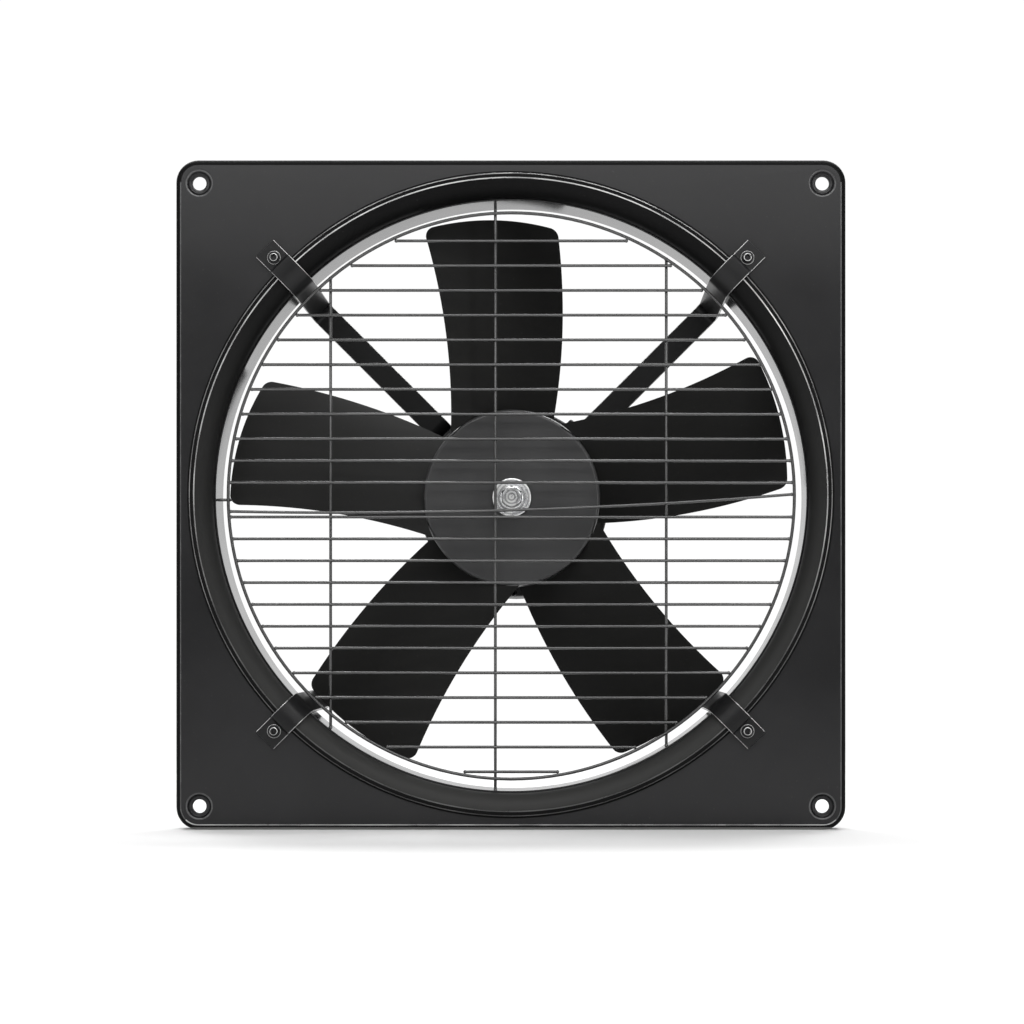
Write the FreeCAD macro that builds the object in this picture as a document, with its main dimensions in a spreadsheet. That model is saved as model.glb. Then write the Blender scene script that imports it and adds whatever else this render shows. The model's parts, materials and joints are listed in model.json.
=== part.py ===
import FreeCAD, Part
import math
import os
import re
import Sketcher

# Wall-mounted exhaust fan, in millimetres: +X right, +Z up, the fan axis along Y, the intake side towards -Y.
# Depths below are measured back from the plate's front face. Every piece is then moved forward by the
# depth of the bolt dimples, so that the origin lies on the fan axis, level with the four bolt seats.

doc = FreeCAD.newDocument("exhaust_fan")
dims = doc.addObject("Spreadsheet::Sheet", "Dims")

driving_sizes = {
    # Wall plate: one pressed sheet with its rim folded back
    "plate_side": 540,
    "sheet": 1.5,
    "corner_radius": 18,
    "bend_radius": 4.5,
    "rim_depth": 22,
    # Four bolt holes, each at the bottom of a dimple
    "bolt_inset": 19,
    "bolt_hole": 11,
    "dimple_mouth": 20,
    "dimple_floor": 16,
    "dimple_depth": 2.5,
    # Raised lip, bell-mouth and short collar of the plate, turned about the fan axis
    "edge_land": 10.5,
    "lip_height": 3,
    "lip_round": 2,
    "lip_flat": 2,
    "lip_root": 0.8,
    "mouth_curve": 14.5,
    "collar_length": 12,
    # Duct: a rolled ring welded inside the collar
    "duct_set": 2,
    "duct_length": 43.5,
    # Support arms: flat bars that run from the plate over the lip, through the duct and on to the motor
    "bar_width": 20,
    "bar_thick": 3,
    "bar_gap": 0.5,
    "joggle_gap": 0.5,
    "joggle_run": 1.5,
    "joggle_shift": 2,
    "foot_length": 18.5,
    "foot_margin": 10.8,
    "arm_set": 38,
    "arm_bend": 6,
    "tab_length": 40,
    "tab_bolt_set": 25,
    # Foot screws and nuts
    "screw_radius": 3,
    "screw_hole_gap": 0.3,
    "screw_flange": 5.6,
    "screw_flange_thick": 1.1,
    "screw_head": 3.9,
    "screw_head_height": 4.2,
    "screw_length": 15,
    "nut_corner": 5.8,
    "nut_height": 6,
    "thread_gap": 0.05,
    # Wire guard in the throat
    "ring_wire": 3,
    "cross_wire": 2.4,
    "weld_gap": 0.05,
    "guard_set": 4,
    "ring_gap": 4.5,
    "middle_drop": 3.1,
    "middle_spread": 28,
    "near_pitch": 17.75,
    "far_pitch": 20.1,
    "bow_left_drop": 12.6,
    "bow_right_rise": 1.3,
    "bow_radius": 4480,
    "left_upright": 147,
    "middle_upright": 13,
    "right_upright": 126,
    # Hub
    "hub_set": 22,
    "hub_radius": 72.5,
    "hub_depth": 56,
    "hub_wall": 2.5,
    "hub_round": 3,
    "bush_radius": 19,
    "bush_length": 46,
    "bush_flange": 42,
    "bush_flange_thick": 5,
    "washer_radius": 16,
    "washer_thick": 3,
    "bolt_radius": 5,
    "bolt_gap": 0.4,
    "bolt_flange": 10,
    "bolt_flange_thick": 1.5,
    "bolt_head_corner": 9.2,
    "bolt_head_height": 6.5,
    "bolt_length": 36,
    # Blades: cambered sheets set at a pitch that eases off towards the tip
    "tip_gap": 5,
    "blade_lead": 2,
    "blade_depth": 54,
    "blade_thick": 3.2,
    "camber_radius": 260,
    "blade_overlap": 8,
    "root_front_edge": 46,
    "root_rear_edge": 38,
    "tip_front_edge": 56,
    "tip_rear_edge": 54,
    "front_edge_radius": 520,
    "rear_edge_radius": 540,
    "tip_round": 8,
    # Motor
    "motor_gap": 8,
    "barrel_radius": 80,
    "barrel_wall": 6,
    "barrel_length": 100,
    "shield_depth": 10,
    "shield_wall": 4,
    "shield_edge": 1,
    "rear_shield_depth": 14,
    "spigot_length": 4,
    "spigot_wall": 4,
    "fit_gap": 0.1,
    "bearing_radius": 23.5,
    "bearing_width": 14,
    "bearing_boss": 5.5,
    "shield_screw_radius": 2,
    "shield_screw_head": 3,
    "shield_screw_head_height": 3,
    "shield_screw_length": 24,
    "pad_height": 8,
    "pad_width": 38,
    "pad_margin": 2,
    "pad_bolt_radius": 4,
    "pad_bolt_corner": 7.4,
    "pad_bolt_head": 5.3,
    "pad_bolt_length": 16,
    "pad_washer_radius": 8,
    "pad_washer_thick": 1.6,
    "core_start": 14,
    "core_length": 72,
    "air_gap": 0.5,
    "rotor_radius": 45,
    "winding_depth": 8,
    "winding_inset": 4,
    # Shaft and key
    "shaft_radius": 10,
    "running_gap": 0.05,
    "shaft_set": 4,
    "shaft_body": 13,
    "shaft_hole": 34,
    "key_side": 6,
    "key_rise": 2.8,
    "key_length": 30,
    "key_set": 8,
    # Terminal box on top of the motor
    "box_seat": 2,
    "box_set": 2,
    "box_width": 64,
    "box_length": 56,
    "box_height": 32,
    "box_wall": 2.5,
    "box_floor": 3,
    "box_corner": 9,
    "gasket_thick": 1.5,
    "lid_thick": 3,
    "lid_screw_inset": 5,
    "lid_screw_radius": 1.5,
    "lid_screw_head": 3,
    "lid_screw_head_height": 2,
    "lid_screw_length": 14,
    "block_width": 40,
    "block_length": 20,
    "block_height": 13,
    "gland_thread": 8,
    "gland_body": 12,
    "gland_body_length": 6,
    "gland_cap": 10.5,
    "gland_cap_length": 14,
    "gland_bore": 4.5,
}
for row, (alias, size) in enumerate(driving_sizes.items(), start=1):
    dims.set(f"A{row}", alias)
    dims.set(f"B{row}", str(size))
    dims.setAlias(f"B{row}", alias)
doc.recompute()

# Sizes that follow from the driving ones, as formulas
lip_radius = "(plate_side/2 - edge_land)"
press_radius = f"({lip_radius} + lip_root)"
mouth_centre = f"({lip_radius} - lip_round - lip_flat)"
throat = "(mouth_curve - lip_height)"
collar_radius = f"({mouth_centre} - mouth_curve)"
collar_end = f"({throat} + collar_length)"
duct_outside = f"({collar_radius} - weld_gap)"
duct_radius = f"({duct_outside} - sheet)"
duct_front = f"({throat} + duct_set)"
duct_end = f"({duct_front} + duct_length)"
bolt_offset = "(plate_side/2 - bolt_inset)"
bar_outside = f"({duct_radius} - bar_gap)"
bar_inside = f"({bar_outside} - bar_thick)"
joggle_in = f"({lip_radius} + joggle_gap)"
joggle_out = f"({joggle_in} + joggle_run)"
foot_end = f"({joggle_out} + foot_length)"
foot_screw = f"({foot_end} - foot_margin)"
bar_rise = "(lip_height + bar_gap)"
bar_curve = f"({mouth_centre} - {bar_outside})"
bar_throat = f"({bar_curve} - {bar_rise})"
ring_radius = f"({bar_inside} - ring_gap - ring_wire/2)"
ring_inside = f"({ring_radius} - ring_wire/2)"
guard_depth = f"({bar_throat} + guard_set)"
cross_depth = f"({guard_depth} + ring_wire/2 - cross_wire/2)"
upright_depth = f"({guard_depth} + ring_wire/2 + weld_gap + cross_wire/2)"
hub_front = f"({guard_depth} + hub_set)"
hub_inside = f"({hub_front} + hub_wall)"
hub_rear = f"({hub_front} + hub_depth)"
tip_radius = f"({bar_inside} - tip_gap)"
front_edge = f"({hub_front} - blade_lead)"
rear_edge = f"({front_edge} + blade_depth)"
motor_front = f"({hub_rear} + motor_gap)"
barrel_front = f"({motor_front} + shield_depth)"
barrel_rear = f"({barrel_front} + barrel_length)"
motor_rear = f"({barrel_rear} + rear_shield_depth)"
barrel_bore = "(barrel_radius - barrel_wall)"
shield_screw = "(barrel_radius - barrel_wall/2)"
arm_front = f"({barrel_front} + arm_set)"
arm_rear = f"({arm_front} + bar_thick)"
pad_radius = "(barrel_radius + pad_height)"
tab_outside = f"({pad_radius} + bar_thick)"
tab_start = f"({arm_rear} + arm_bend)"
tab_end = f"({arm_front} + tab_length)"
tab_bolt = f"({arm_front} + tab_bolt_set)"
core_front = f"({barrel_front} + core_start)"
core_rear = f"({core_front} + core_length)"
front_bearing_start = f"({motor_front} + shield_wall)"
rear_bearing_start = f"({motor_rear} - shield_wall - bearing_width)"
box_bottom = "(barrel_radius + box_seat)"
box_rear = f"({barrel_rear} - box_set)"
box_front = f"({box_rear} - box_length)"
box_top = f"({box_bottom} + box_height)"
lid_bottom = f"({box_top} + gasket_thick)"
lid_top = f"({lid_bottom} + lid_thick)"

functions = ("sqrt", "sin", "cos", "asin", "abs")
along_x = FreeCAD.Rotation(FreeCAD.Vector(0, 1, 0), 90)
along_y = FreeCAD.Rotation(FreeCAD.Vector(1, 0, 0), -90)
along_z = FreeCAD.Rotation()
arm_angles = (45, 135, 225, 315)
blade_angles = (4.2, 77.5, 145.5, 215.9, 286.6)
near_count_above = 2
near_count_below = 6
nodes = []


# A formula with each size's name turned into its cell
def cells(formula):
    words = r"[a-z]+(?:_[a-z]+)*"
    return re.sub(words, lambda found: found[0] if found[0] in functions else "Dims." + found[0], formula)


def number(formula):
    value = dims.evalExpression(cells(formula))
    return float(getattr(value, "Value", value))


def bind(thing, **formulas):
    for name, formula in formulas.items():
        thing.setExpression(name.replace("__", "."), cells(formula))


# Rotation about the fan axis, counter-clockwise seen from the front
def turn(angle):
    return FreeCAD.Rotation(FreeCAD.Vector(0, 1, 0), -angle)


def finish(thing, label, angle=0, height="0"):
    thing.Label = label
    thing.Placement = FreeCAD.Placement(FreeCAD.Vector(), turn(angle))
    bind(thing, Placement__Base__y="-dimple_depth", Placement__Base__z=height)
    nodes.append(thing)


# One solid or cutter from Part, its axis or height along the given rotation's Z
def primitive(kind, rotation, x, y, z, **formulas):
    thing = doc.addObject("Part::" + kind, kind)
    thing.Placement.Rotation = rotation
    bind(thing, Placement__Base__x=x, Placement__Base__y=y, Placement__Base__z=z, **formulas)
    return thing


def rod(x, y, z, radius, length, rotation=along_y):
    return primitive("Cylinder", rotation, x, y, z, Radius=radius, Height=length)


def box(x, y, z, length, width, height):
    return primitive("Box", along_z, x, y, z, Length=length, Width=width, Height=height)


def joined(things):
    fused = doc.addObject("Part::MultiFuse", "Joined")
    fused.Shapes = things
    return fused


def cut(base, tools):
    result = doc.addObject("Part::Cut", "Cut")
    result.Base = base
    result.Tool = joined(tools) if len(tools) > 1 else tools[0]
    return result


def group(things):
    compound = doc.addObject("Part::Compound", "Group")
    compound.Links = things
    return compound


def new_body():
    return doc.addObject("PartDesign::Body", "Body")


def origin_feature(body, role):
    return next(item for item in body.Origin.OriginFeatures if item.Role == role)


def new_sketch(body, role, lift="0"):
    sketch = body.newObject("Sketcher::SketchObject", "Sketch")
    sketch.AttachmentSupport = (origin_feature(body, role), [""])
    sketch.MapMode = "FlatFace"
    bind(sketch, AttachmentOffset__Base__z=lift)
    return sketch


def hold(sketch, constraint, formula):
    index = sketch.addConstraint(constraint)
    sketch.setExpression(f"Constraints[{index}]", cells(formula))


# Ties one point of a sketch to its distances from the sketch's origin
def hold_point(sketch, edge, end, x, y):
    for kind, axis, formula in (("DistanceX", -2, x), ("DistanceY", -1, y)):
        if formula == "0":
            sketch.addConstraint(Sketcher.Constraint("PointOnObject", edge, end, axis))
        else:
            hold(sketch, Sketcher.Constraint(kind, -1, 1, edge, end, number(formula)), formula)


# A closed outline: each corner is its x and y, then "left" or "right" and a radius where an arc that
# turns that way leads to the next corner
def outline(sketch, corners):
    spots = [FreeCAD.Vector(number(corner[0]), number(corner[1]), 0) for corner in corners]
    stretches = []
    for corner, here, there in zip(corners, spots, spots[1:] + spots[:1]):
        if len(corner) == 2:
            stretches.append((sketch.addGeometry(Part.LineSegment(here, there), False), 1, 2))
            continue
        side = 1 if corner[2] == "left" else -1
        radius = number(corner[3])
        half = (there - here) * 0.5
        across = FreeCAD.Vector(-half.y, half.x, 0).normalize() * side
        centre = here + half + across * math.sqrt(max(radius**2 - half.Length**2, 0))
        angles = [math.atan2(spot.y - centre.y, spot.x - centre.x) for spot in (here, there)]
        circle = Part.Circle(centre, FreeCAD.Vector(0, 0, 1), radius)
        edge = sketch.addGeometry(Part.ArcOfCircle(circle, *angles[::side]), False)
        stretches.append((edge, 1, 2) if side == 1 else (edge, 2, 1))
        hold(sketch, Sketcher.Constraint("Radius", edge, radius), corner[3])
    for corner, (edge, start, _), (last, _, end) in zip(corners, stretches, stretches[-1:] + stretches):
        sketch.addConstraint(Sketcher.Constraint("Coincident", last, end, edge, start))
        hold_point(sketch, edge, start, corner[0], corner[1])


def circle(sketch, x, y, radius):
    centre = FreeCAD.Vector(number(x), number(y), 0)
    edge = sketch.addGeometry(Part.Circle(centre, FreeCAD.Vector(0, 0, 1), number(radius)), False)
    hold_point(sketch, edge, 3, x, y)
    hold(sketch, Sketcher.Constraint("Radius", edge, number(radius)), radius)


def hexagon(x, y, corner):
    return [(f"{x} + {corner}*cos({60 * k})", f"{y} + {corner}*sin({60 * k})") for k in range(6)]


def rounded_square(half, radius):
    flat = f"({half} - {radius})"
    return [
        (flat, f"-{half}", "left", radius),
        (half, f"-{flat}"),
        (half, flat, "left", radius),
        (flat, half),
        (f"-{flat}", half, "left", radius),
        (f"-{half}", flat),
        (f"-{half}", f"-{flat}", "left", radius),
        (f"-{flat}", f"-{half}"),
    ]


def rectangle(left, right, front, rear):
    return [(left, front), (right, front), (right, rear), (left, rear)]


def extrude(body, kind, sketch, length, back=False, both_ways=False):
    feature = body.newObject("PartDesign::" + kind, kind)
    feature.Profile = sketch
    bind(feature, Length=length)
    feature.Reversed = back
    if both_ways:
        feature.SideType = "Symmetric"
    return feature


def revolve(body, sketch, axis="V_Axis"):
    feature = body.newObject("PartDesign::Revolution", "Revolution")
    feature.Profile = sketch
    feature.ReferenceAxis = (sketch, [axis])
    feature.Angle = 360
    return feature


# A piece turned about the fan axis from corners given as radius and depth
def turned(corners):
    body = new_body()
    sketch = new_sketch(body, "XY_Plane")
    outline(sketch, corners)
    revolve(body, sketch)
    return body


# A small turned piece whose own axis is parallel to the fan axis, at a distance out from it
def turned_aside(body, corners, axis_radius, axis_end):
    sketch = new_sketch(body, "XY_Plane")
    outline(sketch, corners)
    ends = [FreeCAD.Vector(number(axis_radius), y, 0) for y in (0, number(axis_end))]
    line = sketch.addGeometry(Part.LineSegment(*ends), True)
    hold_point(sketch, line, 1, axis_radius, "0")
    hold_point(sketch, line, 2, axis_radius, axis_end)
    return revolve(body, sketch, "Axis0")


def around(body, features, count=4):
    pattern = body.newObject("PartDesign::PolarPattern", "PolarPattern")
    pattern.Originals = features
    pattern.Axis = (origin_feature(body, "Y_Axis"), [""])
    pattern.Angle = 360
    pattern.Occurrences = count
    body.Tip = pattern
    return pattern


def drill(body, kind, rotation, x, y, z, **formulas):
    feature = body.newObject("PartDesign::" + kind, kind)
    feature.Placement.Rotation = rotation
    bind(feature, Placement__Base__x=x, Placement__Base__y=y, Placement__Base__z=z, **formulas)
    return feature


def fillet(body, feature, chosen, radius):
    doc.recompute()
    edges = [f"Edge{i}" for i, edge in enumerate(feature.Shape.Edges, start=1) if chosen(edge)]
    rounding = body.newObject("PartDesign::Fillet", "Fillet")
    rounding.Base = (feature, edges)
    bind(rounding, Radius=radius)
    return rounding


# Edges that lie wholly in the plane at one depth
def at_depth(depth):
    return lambda edge: all(abs(y - depth) < 0.001 for y in (edge.BoundBox.YMin, edge.BoundBox.YMax))


def wall_plate():
    body = new_body()
    pan = new_sketch(body, "XZ_Plane")
    outline(pan, rounded_square("(plate_side/2)", "corner_radius"))
    block = extrude(body, "Pad", pan, "rim_depth", back=True)
    fillet(body, block, at_depth(0), "bend_radius")
    hollow = new_sketch(body, "XZ_Plane", "-rim_depth")
    outline(hollow, rounded_square("(plate_side/2 - sheet)", "(corner_radius - sheet)"))
    shell = extrude(body, "Pocket", hollow, "rim_depth - sheet", back=True)
    doc.recompute()
    inner_edge = number("plate_side/2 - sheet")
    inner_loop = at_depth(number("sheet"))
    fillet(body, shell, lambda edge: inner_loop(edge) and edge.BoundBox.XMax <= inner_edge + 0.001,
           "bend_radius - sheet")
    mouth = new_sketch(body, "XZ_Plane")
    circle(mouth, "0", "0", press_radius)
    extrude(body, "Pocket", mouth, "sheet")
    profile = new_sketch(body, "XY_Plane")
    lip_inside = f"({lip_radius} - sheet)"
    outline(profile, [
        (press_radius, "sheet"),
        (press_radius, "0", "left", "lip_root"),
        (lip_radius, "-lip_root"),
        (lip_radius, "lip_round - lip_height", "right", "lip_round"),
        (f"{lip_radius} - lip_round", "-lip_height"),
        (mouth_centre, "-lip_height", "right", "mouth_curve"),
        (collar_radius, throat),
        (collar_radius, collar_end),
        (f"{collar_radius} + sheet", collar_end),
        (f"{collar_radius} + sheet", throat, "left", "(mouth_curve - sheet)"),
        (mouth_centre, "sheet - lip_height"),
        (lip_inside, "sheet - lip_height"),
        (lip_inside, "sheet"),
    ])
    revolve(body, profile)
    for x in (bolt_offset, f"-{bolt_offset}"):
        for z in (bolt_offset, f"-{bolt_offset}"):
            drill(body, "AdditiveCone", along_y, x, "sheet/2", z, Radius1="dimple_mouth/2 + sheet",
                  Radius2="dimple_floor/2 + sheet", Height="dimple_depth + sheet/2")
            drill(body, "SubtractiveCone", along_y, x, "0", z, Radius1="dimple_mouth/2",
                  Radius2="dimple_floor/2", Height="dimple_depth")
            drill(body, "SubtractiveCylinder", along_y, x, "0", z, Radius="bolt_hole/2",
                  Height="dimple_depth + 2*sheet")
    for angle in arm_angles:
        drill(body, "SubtractiveCylinder", along_y, f"{foot_screw}*cos({angle})", "-sheet",
              f"{foot_screw}*sin({angle})", Radius="screw_radius + screw_hole_gap", Height="3*sheet")
    finish(body, "wall_plate")
    finish(turned(rectangle(duct_radius, duct_outside, duct_front, duct_end)), "duct_ring")


def support_arm(label, angle):
    body = new_body()
    sketch = new_sketch(body, "XY_Plane")
    outer_bend = "(arm_bend + bar_thick)"
    outer_leg = f"{bar_outside} - {outer_bend}"
    inner_leg = f"{tab_outside} + arm_bend"
    outline(sketch, [
        (foot_end, "0"),
        (joggle_out, "0"),
        (joggle_in, f"-{bar_rise}"),
        (mouth_centre, f"-{bar_rise}", "right", bar_curve),
        (bar_outside, bar_throat),
        (bar_outside, f"{arm_front} - arm_bend", "left", outer_bend),
        (outer_leg, arm_rear),
        (inner_leg, arm_rear, "right", "arm_bend"),
        (tab_outside, tab_start),
        (tab_outside, tab_end),
        (pad_radius, tab_end),
        (pad_radius, tab_start, "left", outer_bend),
        (inner_leg, arm_front),
        (outer_leg, arm_front, "right", "arm_bend"),
        (bar_inside, f"{arm_front} - arm_bend"),
        (bar_inside, bar_throat, "left", f"({bar_curve} + bar_thick)"),
        (mouth_centre, f"-{bar_rise} - bar_thick"),
        (f"{joggle_in} + joggle_shift", f"-{bar_rise} - bar_thick"),
        (f"{joggle_out} + joggle_shift", "-bar_thick"),
        (foot_end, "-bar_thick"),
    ])
    extrude(body, "Pad", sketch, "bar_width", both_ways=True)
    drill(body, "SubtractiveCylinder", along_y, foot_screw, "-2*bar_thick", "0",
          Radius="screw_radius + screw_hole_gap", Height="3*bar_thick")
    drill(body, "SubtractiveCylinder", along_x, f"{pad_radius} - bar_thick", tab_bolt, "0",
          Radius="pad_bolt_radius + screw_hole_gap", Height="3*bar_thick")
    finish(body, label, angle)


def foot_fasteners():
    screws = new_body()
    under_head = "(0 - bar_thick)"
    flange_top = f"({under_head} - screw_flange_thick)"
    head_top = f"({under_head} - screw_head_height)"
    point = f"({under_head} + screw_length)"
    screw = turned_aside(screws, [
        (foot_screw, head_top),
        (foot_screw, point),
        (f"{foot_screw} + screw_radius", point),
        (f"{foot_screw} + screw_radius", under_head),
        (f"{foot_screw} + screw_flange", under_head),
        (f"{foot_screw} + screw_flange", flange_top),
        (f"{foot_screw} + screw_head", flange_top, "right", "screw_head_height"),
        (f"{foot_screw} + screw_head/2", head_top),
    ], foot_screw, point)
    around(screws, [screw])
    finish(screws, "foot_screws", arm_angles[0])
    nuts = new_body()
    sketch = new_sketch(nuts, "XZ_Plane", "-sheet")
    outline(sketch, hexagon(foot_screw, "0", "nut_corner"))
    circle(sketch, foot_screw, "0", "screw_radius + thread_gap")
    nut = extrude(nuts, "Pad", sketch, "nut_height", back=True)
    around(nuts, [nut])
    finish(nuts, "foot_nuts", arm_angles[0])


def guard_ring():
    ring = primitive("Torus", along_y, "0", guard_depth, "0", Radius1=ring_radius, Radius2="ring_wire/2")
    finish(group([ring]), "guard_ring")


# The wire across the middle hangs in a shallow bow, lower at its left end
def bowed_wire():
    half = f"(sqrt(({ring_inside} - weld_gap)^2 - (bow_left_drop + cross_wire/2)^2) - weld_gap)"
    climb = "(bow_left_drop + bow_right_rise)"
    chord = f"sqrt(4*{half}^2 + {climb}^2)"
    to_centre = f"sqrt(bow_radius^2 - {chord}^2/4)"
    half_angle = f"asin({chord}/(2*bow_radius))"
    lean = f"asin({climb}/{chord})"
    right_end = FreeCAD.Rotation(FreeCAD.Vector(0, 0, 1), 90 - number(lean) - number(half_angle))
    return primitive("Torus", along_y * right_end, f"-{to_centre}*{climb}/{chord}", cross_depth,
                     f"(bow_right_rise - bow_left_drop)/2 + 2*{to_centre}*{half}/{chord}",
                     Radius1="bow_radius", Radius2="cross_wire/2", Angle3=f"2*{half_angle}")


# Straight cross wires fill the rest of the ring: close rows next to the middle and wider rows beyond
def cross_wires():
    wires = [bowed_wire()]
    for side, near_rows in ((1, near_count_above), (-1, near_count_below)):
        first = f"({side}*middle_spread/2 - middle_drop)"
        edge = f"({first} + {side}*{near_rows}*near_pitch)"
        heights = [f"({first} + {side}*{k}*near_pitch)" for k in range(near_rows + 1)]
        far_rows = int(number(f"({ring_inside} - cross_wire - abs({edge}))/far_pitch"))
        heights += [f"({edge} + {side}*{k + 1}*far_pitch)" for k in range(far_rows)]
        for height in heights:
            half = f"sqrt(({ring_inside} - weld_gap)^2 - (abs({height}) + cross_wire/2)^2)"
            wires.append(rod(f"-{half}", cross_depth, height, "cross_wire/2", f"2*{half}", along_x))
    finish(group(wires), "guard_cross_wires")


# The uprights run behind the ring and the cross wires; their long ends and a prong reach the duct wall
def upright_wires():
    wall_end = f"({duct_radius} - weld_gap)"
    wires = []
    for x, top in (("left_upright", ring_radius), ("middle_upright", wall_end),
                   ("right_upright", ring_radius)):
        upper = f"sqrt({top}^2 - ({x} + cross_wire/2)^2)"
        lower = f"sqrt({wall_end}^2 - ({x} + cross_wire/2)^2)"
        place = x if x == "right_upright" else f"-{x}"
        wires.append(rod(place, upright_depth, f"-{lower}", "cross_wire/2", f"{upper} + {lower}", along_z))
    prong_end = f"sqrt({wall_end}^2 - (middle_drop + cross_wire/2)^2)"
    prong_length = f"{prong_end} - {ring_inside} + cross_wire/2"
    wires.append(rod(f"-{prong_end}", upright_depth, "-middle_drop", "cross_wire/2", prong_length, along_x))
    finish(group(wires), "guard_upright_wires")


def hub():
    hole = "(bolt_radius + bolt_gap)"
    finish(turned([
        (hole, hub_front),
        ("hub_radius - hub_round", hub_front, "left", "hub_round"),
        ("hub_radius", f"{hub_front} + hub_round"),
        ("hub_radius", hub_rear),
        ("hub_radius - hub_wall", hub_rear),
        ("hub_radius - hub_wall", hub_inside),
        (hole, hub_inside),
    ]), "hub_drum")
    bore = "(shaft_radius + running_gap)"
    bush_rear = f"{hub_inside} + bush_length"
    flange_rear = f"{hub_inside} + bush_flange_thick"
    bush = turned([
        (bore, hub_inside),
        ("bush_flange", hub_inside),
        ("bush_flange", flange_rear),
        ("bush_radius", flange_rear),
        ("bush_radius", bush_rear),
        (bore, bush_rear),
    ])
    key_start = f"({hub_front} + shaft_set + key_set)"
    key_top = "(shaft_radius + key_rise)"
    slot = dict(Length="key_side + 2*thread_gap", Width="key_length + 2*thread_gap",
                Height="key_side + 2*thread_gap")
    slot_place = ("-key_side/2 - thread_gap", f"{key_start} - thread_gap",
                  f"{key_top} - key_side - thread_gap")
    drill(bush, "SubtractiveBox", along_z, *slot_place, **slot)
    finish(bush, "hub_bush")
    shaft_front = f"({hub_front} + shaft_set)"
    shaft_rear = f"({rear_bearing_start} + bearing_width - shield_edge)"
    body_front = f"({front_bearing_start} + bearing_width)"
    hole_end = f"({shaft_front} + shaft_hole)"
    shaft = turned([
        ("bolt_radius + thread_gap", shaft_front),
        ("shaft_radius", shaft_front),
        ("shaft_radius", body_front),
        ("shaft_body", body_front),
        ("shaft_body", rear_bearing_start),
        ("shaft_radius", rear_bearing_start),
        ("shaft_radius", shaft_rear),
        ("0", shaft_rear),
        ("0", hole_end),
        ("bolt_radius + thread_gap", hole_end),
    ])
    drill(shaft, "SubtractiveBox", along_z, *slot_place, **slot)
    finish(shaft, "motor_shaft")
    key = box("-key_side/2", key_start, f"{key_top} - key_side", "key_side", "key_length", "key_side")
    finish(group([key]), "shaft_key")


def hub_fixings():
    washer_front = f"({hub_front} - washer_thick)"
    finish(turned([
        ("bolt_radius + bolt_gap", washer_front),
        ("washer_radius", washer_front),
        ("washer_radius", hub_front),
        ("bolt_radius + bolt_gap", hub_front),
    ]), "hub_washer")
    flange_front = f"({washer_front} - bolt_flange_thick)"
    head_front = f"{flange_front} - bolt_head_height"
    head = primitive("Prism", along_y, "0", head_front, "0", Circumradius="bolt_head_corner",
                     Height="bolt_head_height")
    flange = rod("0", flange_front, "0", "bolt_flange", "bolt_flange_thick")
    shank = rod("0", flange_front, "0", "bolt_radius", "bolt_length")
    finish(joined([head, flange, shank]), "hub_bolt")


# The blade stands along +Z: X runs along its chord, and the front edge is the one at -X
def blade(label, angle):
    sheet = new_body()
    sections = []
    root_height = "(hub_radius/2)"
    tip_height = f"({tip_radius} + blade_overlap)"
    for height, left, right in ((root_height, "root_front_edge", "root_rear_edge"),
                                (tip_height, "tip_front_edge", "tip_rear_edge")):
        slope = f"(blade_depth/({left} + {right}))"
        ends = (f"(-{left} - blade_overlap)", f"({right} + blade_overlap)")
        front = f"({front_edge} - blade_overlap*{slope})"
        rear = f"({rear_edge} + blade_overlap*{slope})"
        section = new_sketch(sheet, "XY_Plane", height)
        outline(section, [
            (ends[0], front, "left", "camber_radius"),
            (ends[1], rear),
            (ends[1], f"{rear} + blade_thick", "right", "camber_radius"),
            (ends[0], f"{front} + blade_thick"),
        ])
        sections.append(section)
    loft = sheet.newObject("PartDesign::AdditiveLoft", "Loft")
    loft.Profile = sections[0]
    loft.Sections = sections[1:]
    loft.Ruled = True
    shape = new_body()
    face = new_sketch(shape, "XZ_Plane")
    root = "(hub_radius + weld_gap)"
    outline(face, [
        ("-root_front_edge", f"sqrt({root}^2 - root_front_edge^2)", "right", root),
        ("root_rear_edge", f"sqrt({root}^2 - root_rear_edge^2)", "left", "rear_edge_radius"),
        ("tip_rear_edge", f"sqrt({tip_radius}^2 - tip_rear_edge^2)", "left", tip_radius),
        ("-tip_front_edge", f"sqrt({tip_radius}^2 - tip_front_edge^2)", "right", "front_edge_radius"),
    ])
    block = extrude(shape, "Pad", face, f"2*{rear_edge}", back=True)
    tip_corners = number(f"{tip_radius}/2")
    fillet(shape, block, lambda edge: edge.BoundBox.YLength > 1 and edge.BoundBox.ZMin > tip_corners
           and edge.BoundBox.XLength < 0.001, "tip_round")
    trimmed = doc.addObject("Part::Common", "Common")
    trimmed.Base = sheet
    trimmed.Tool = shape
    finish(trimmed, label, angle)


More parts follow.
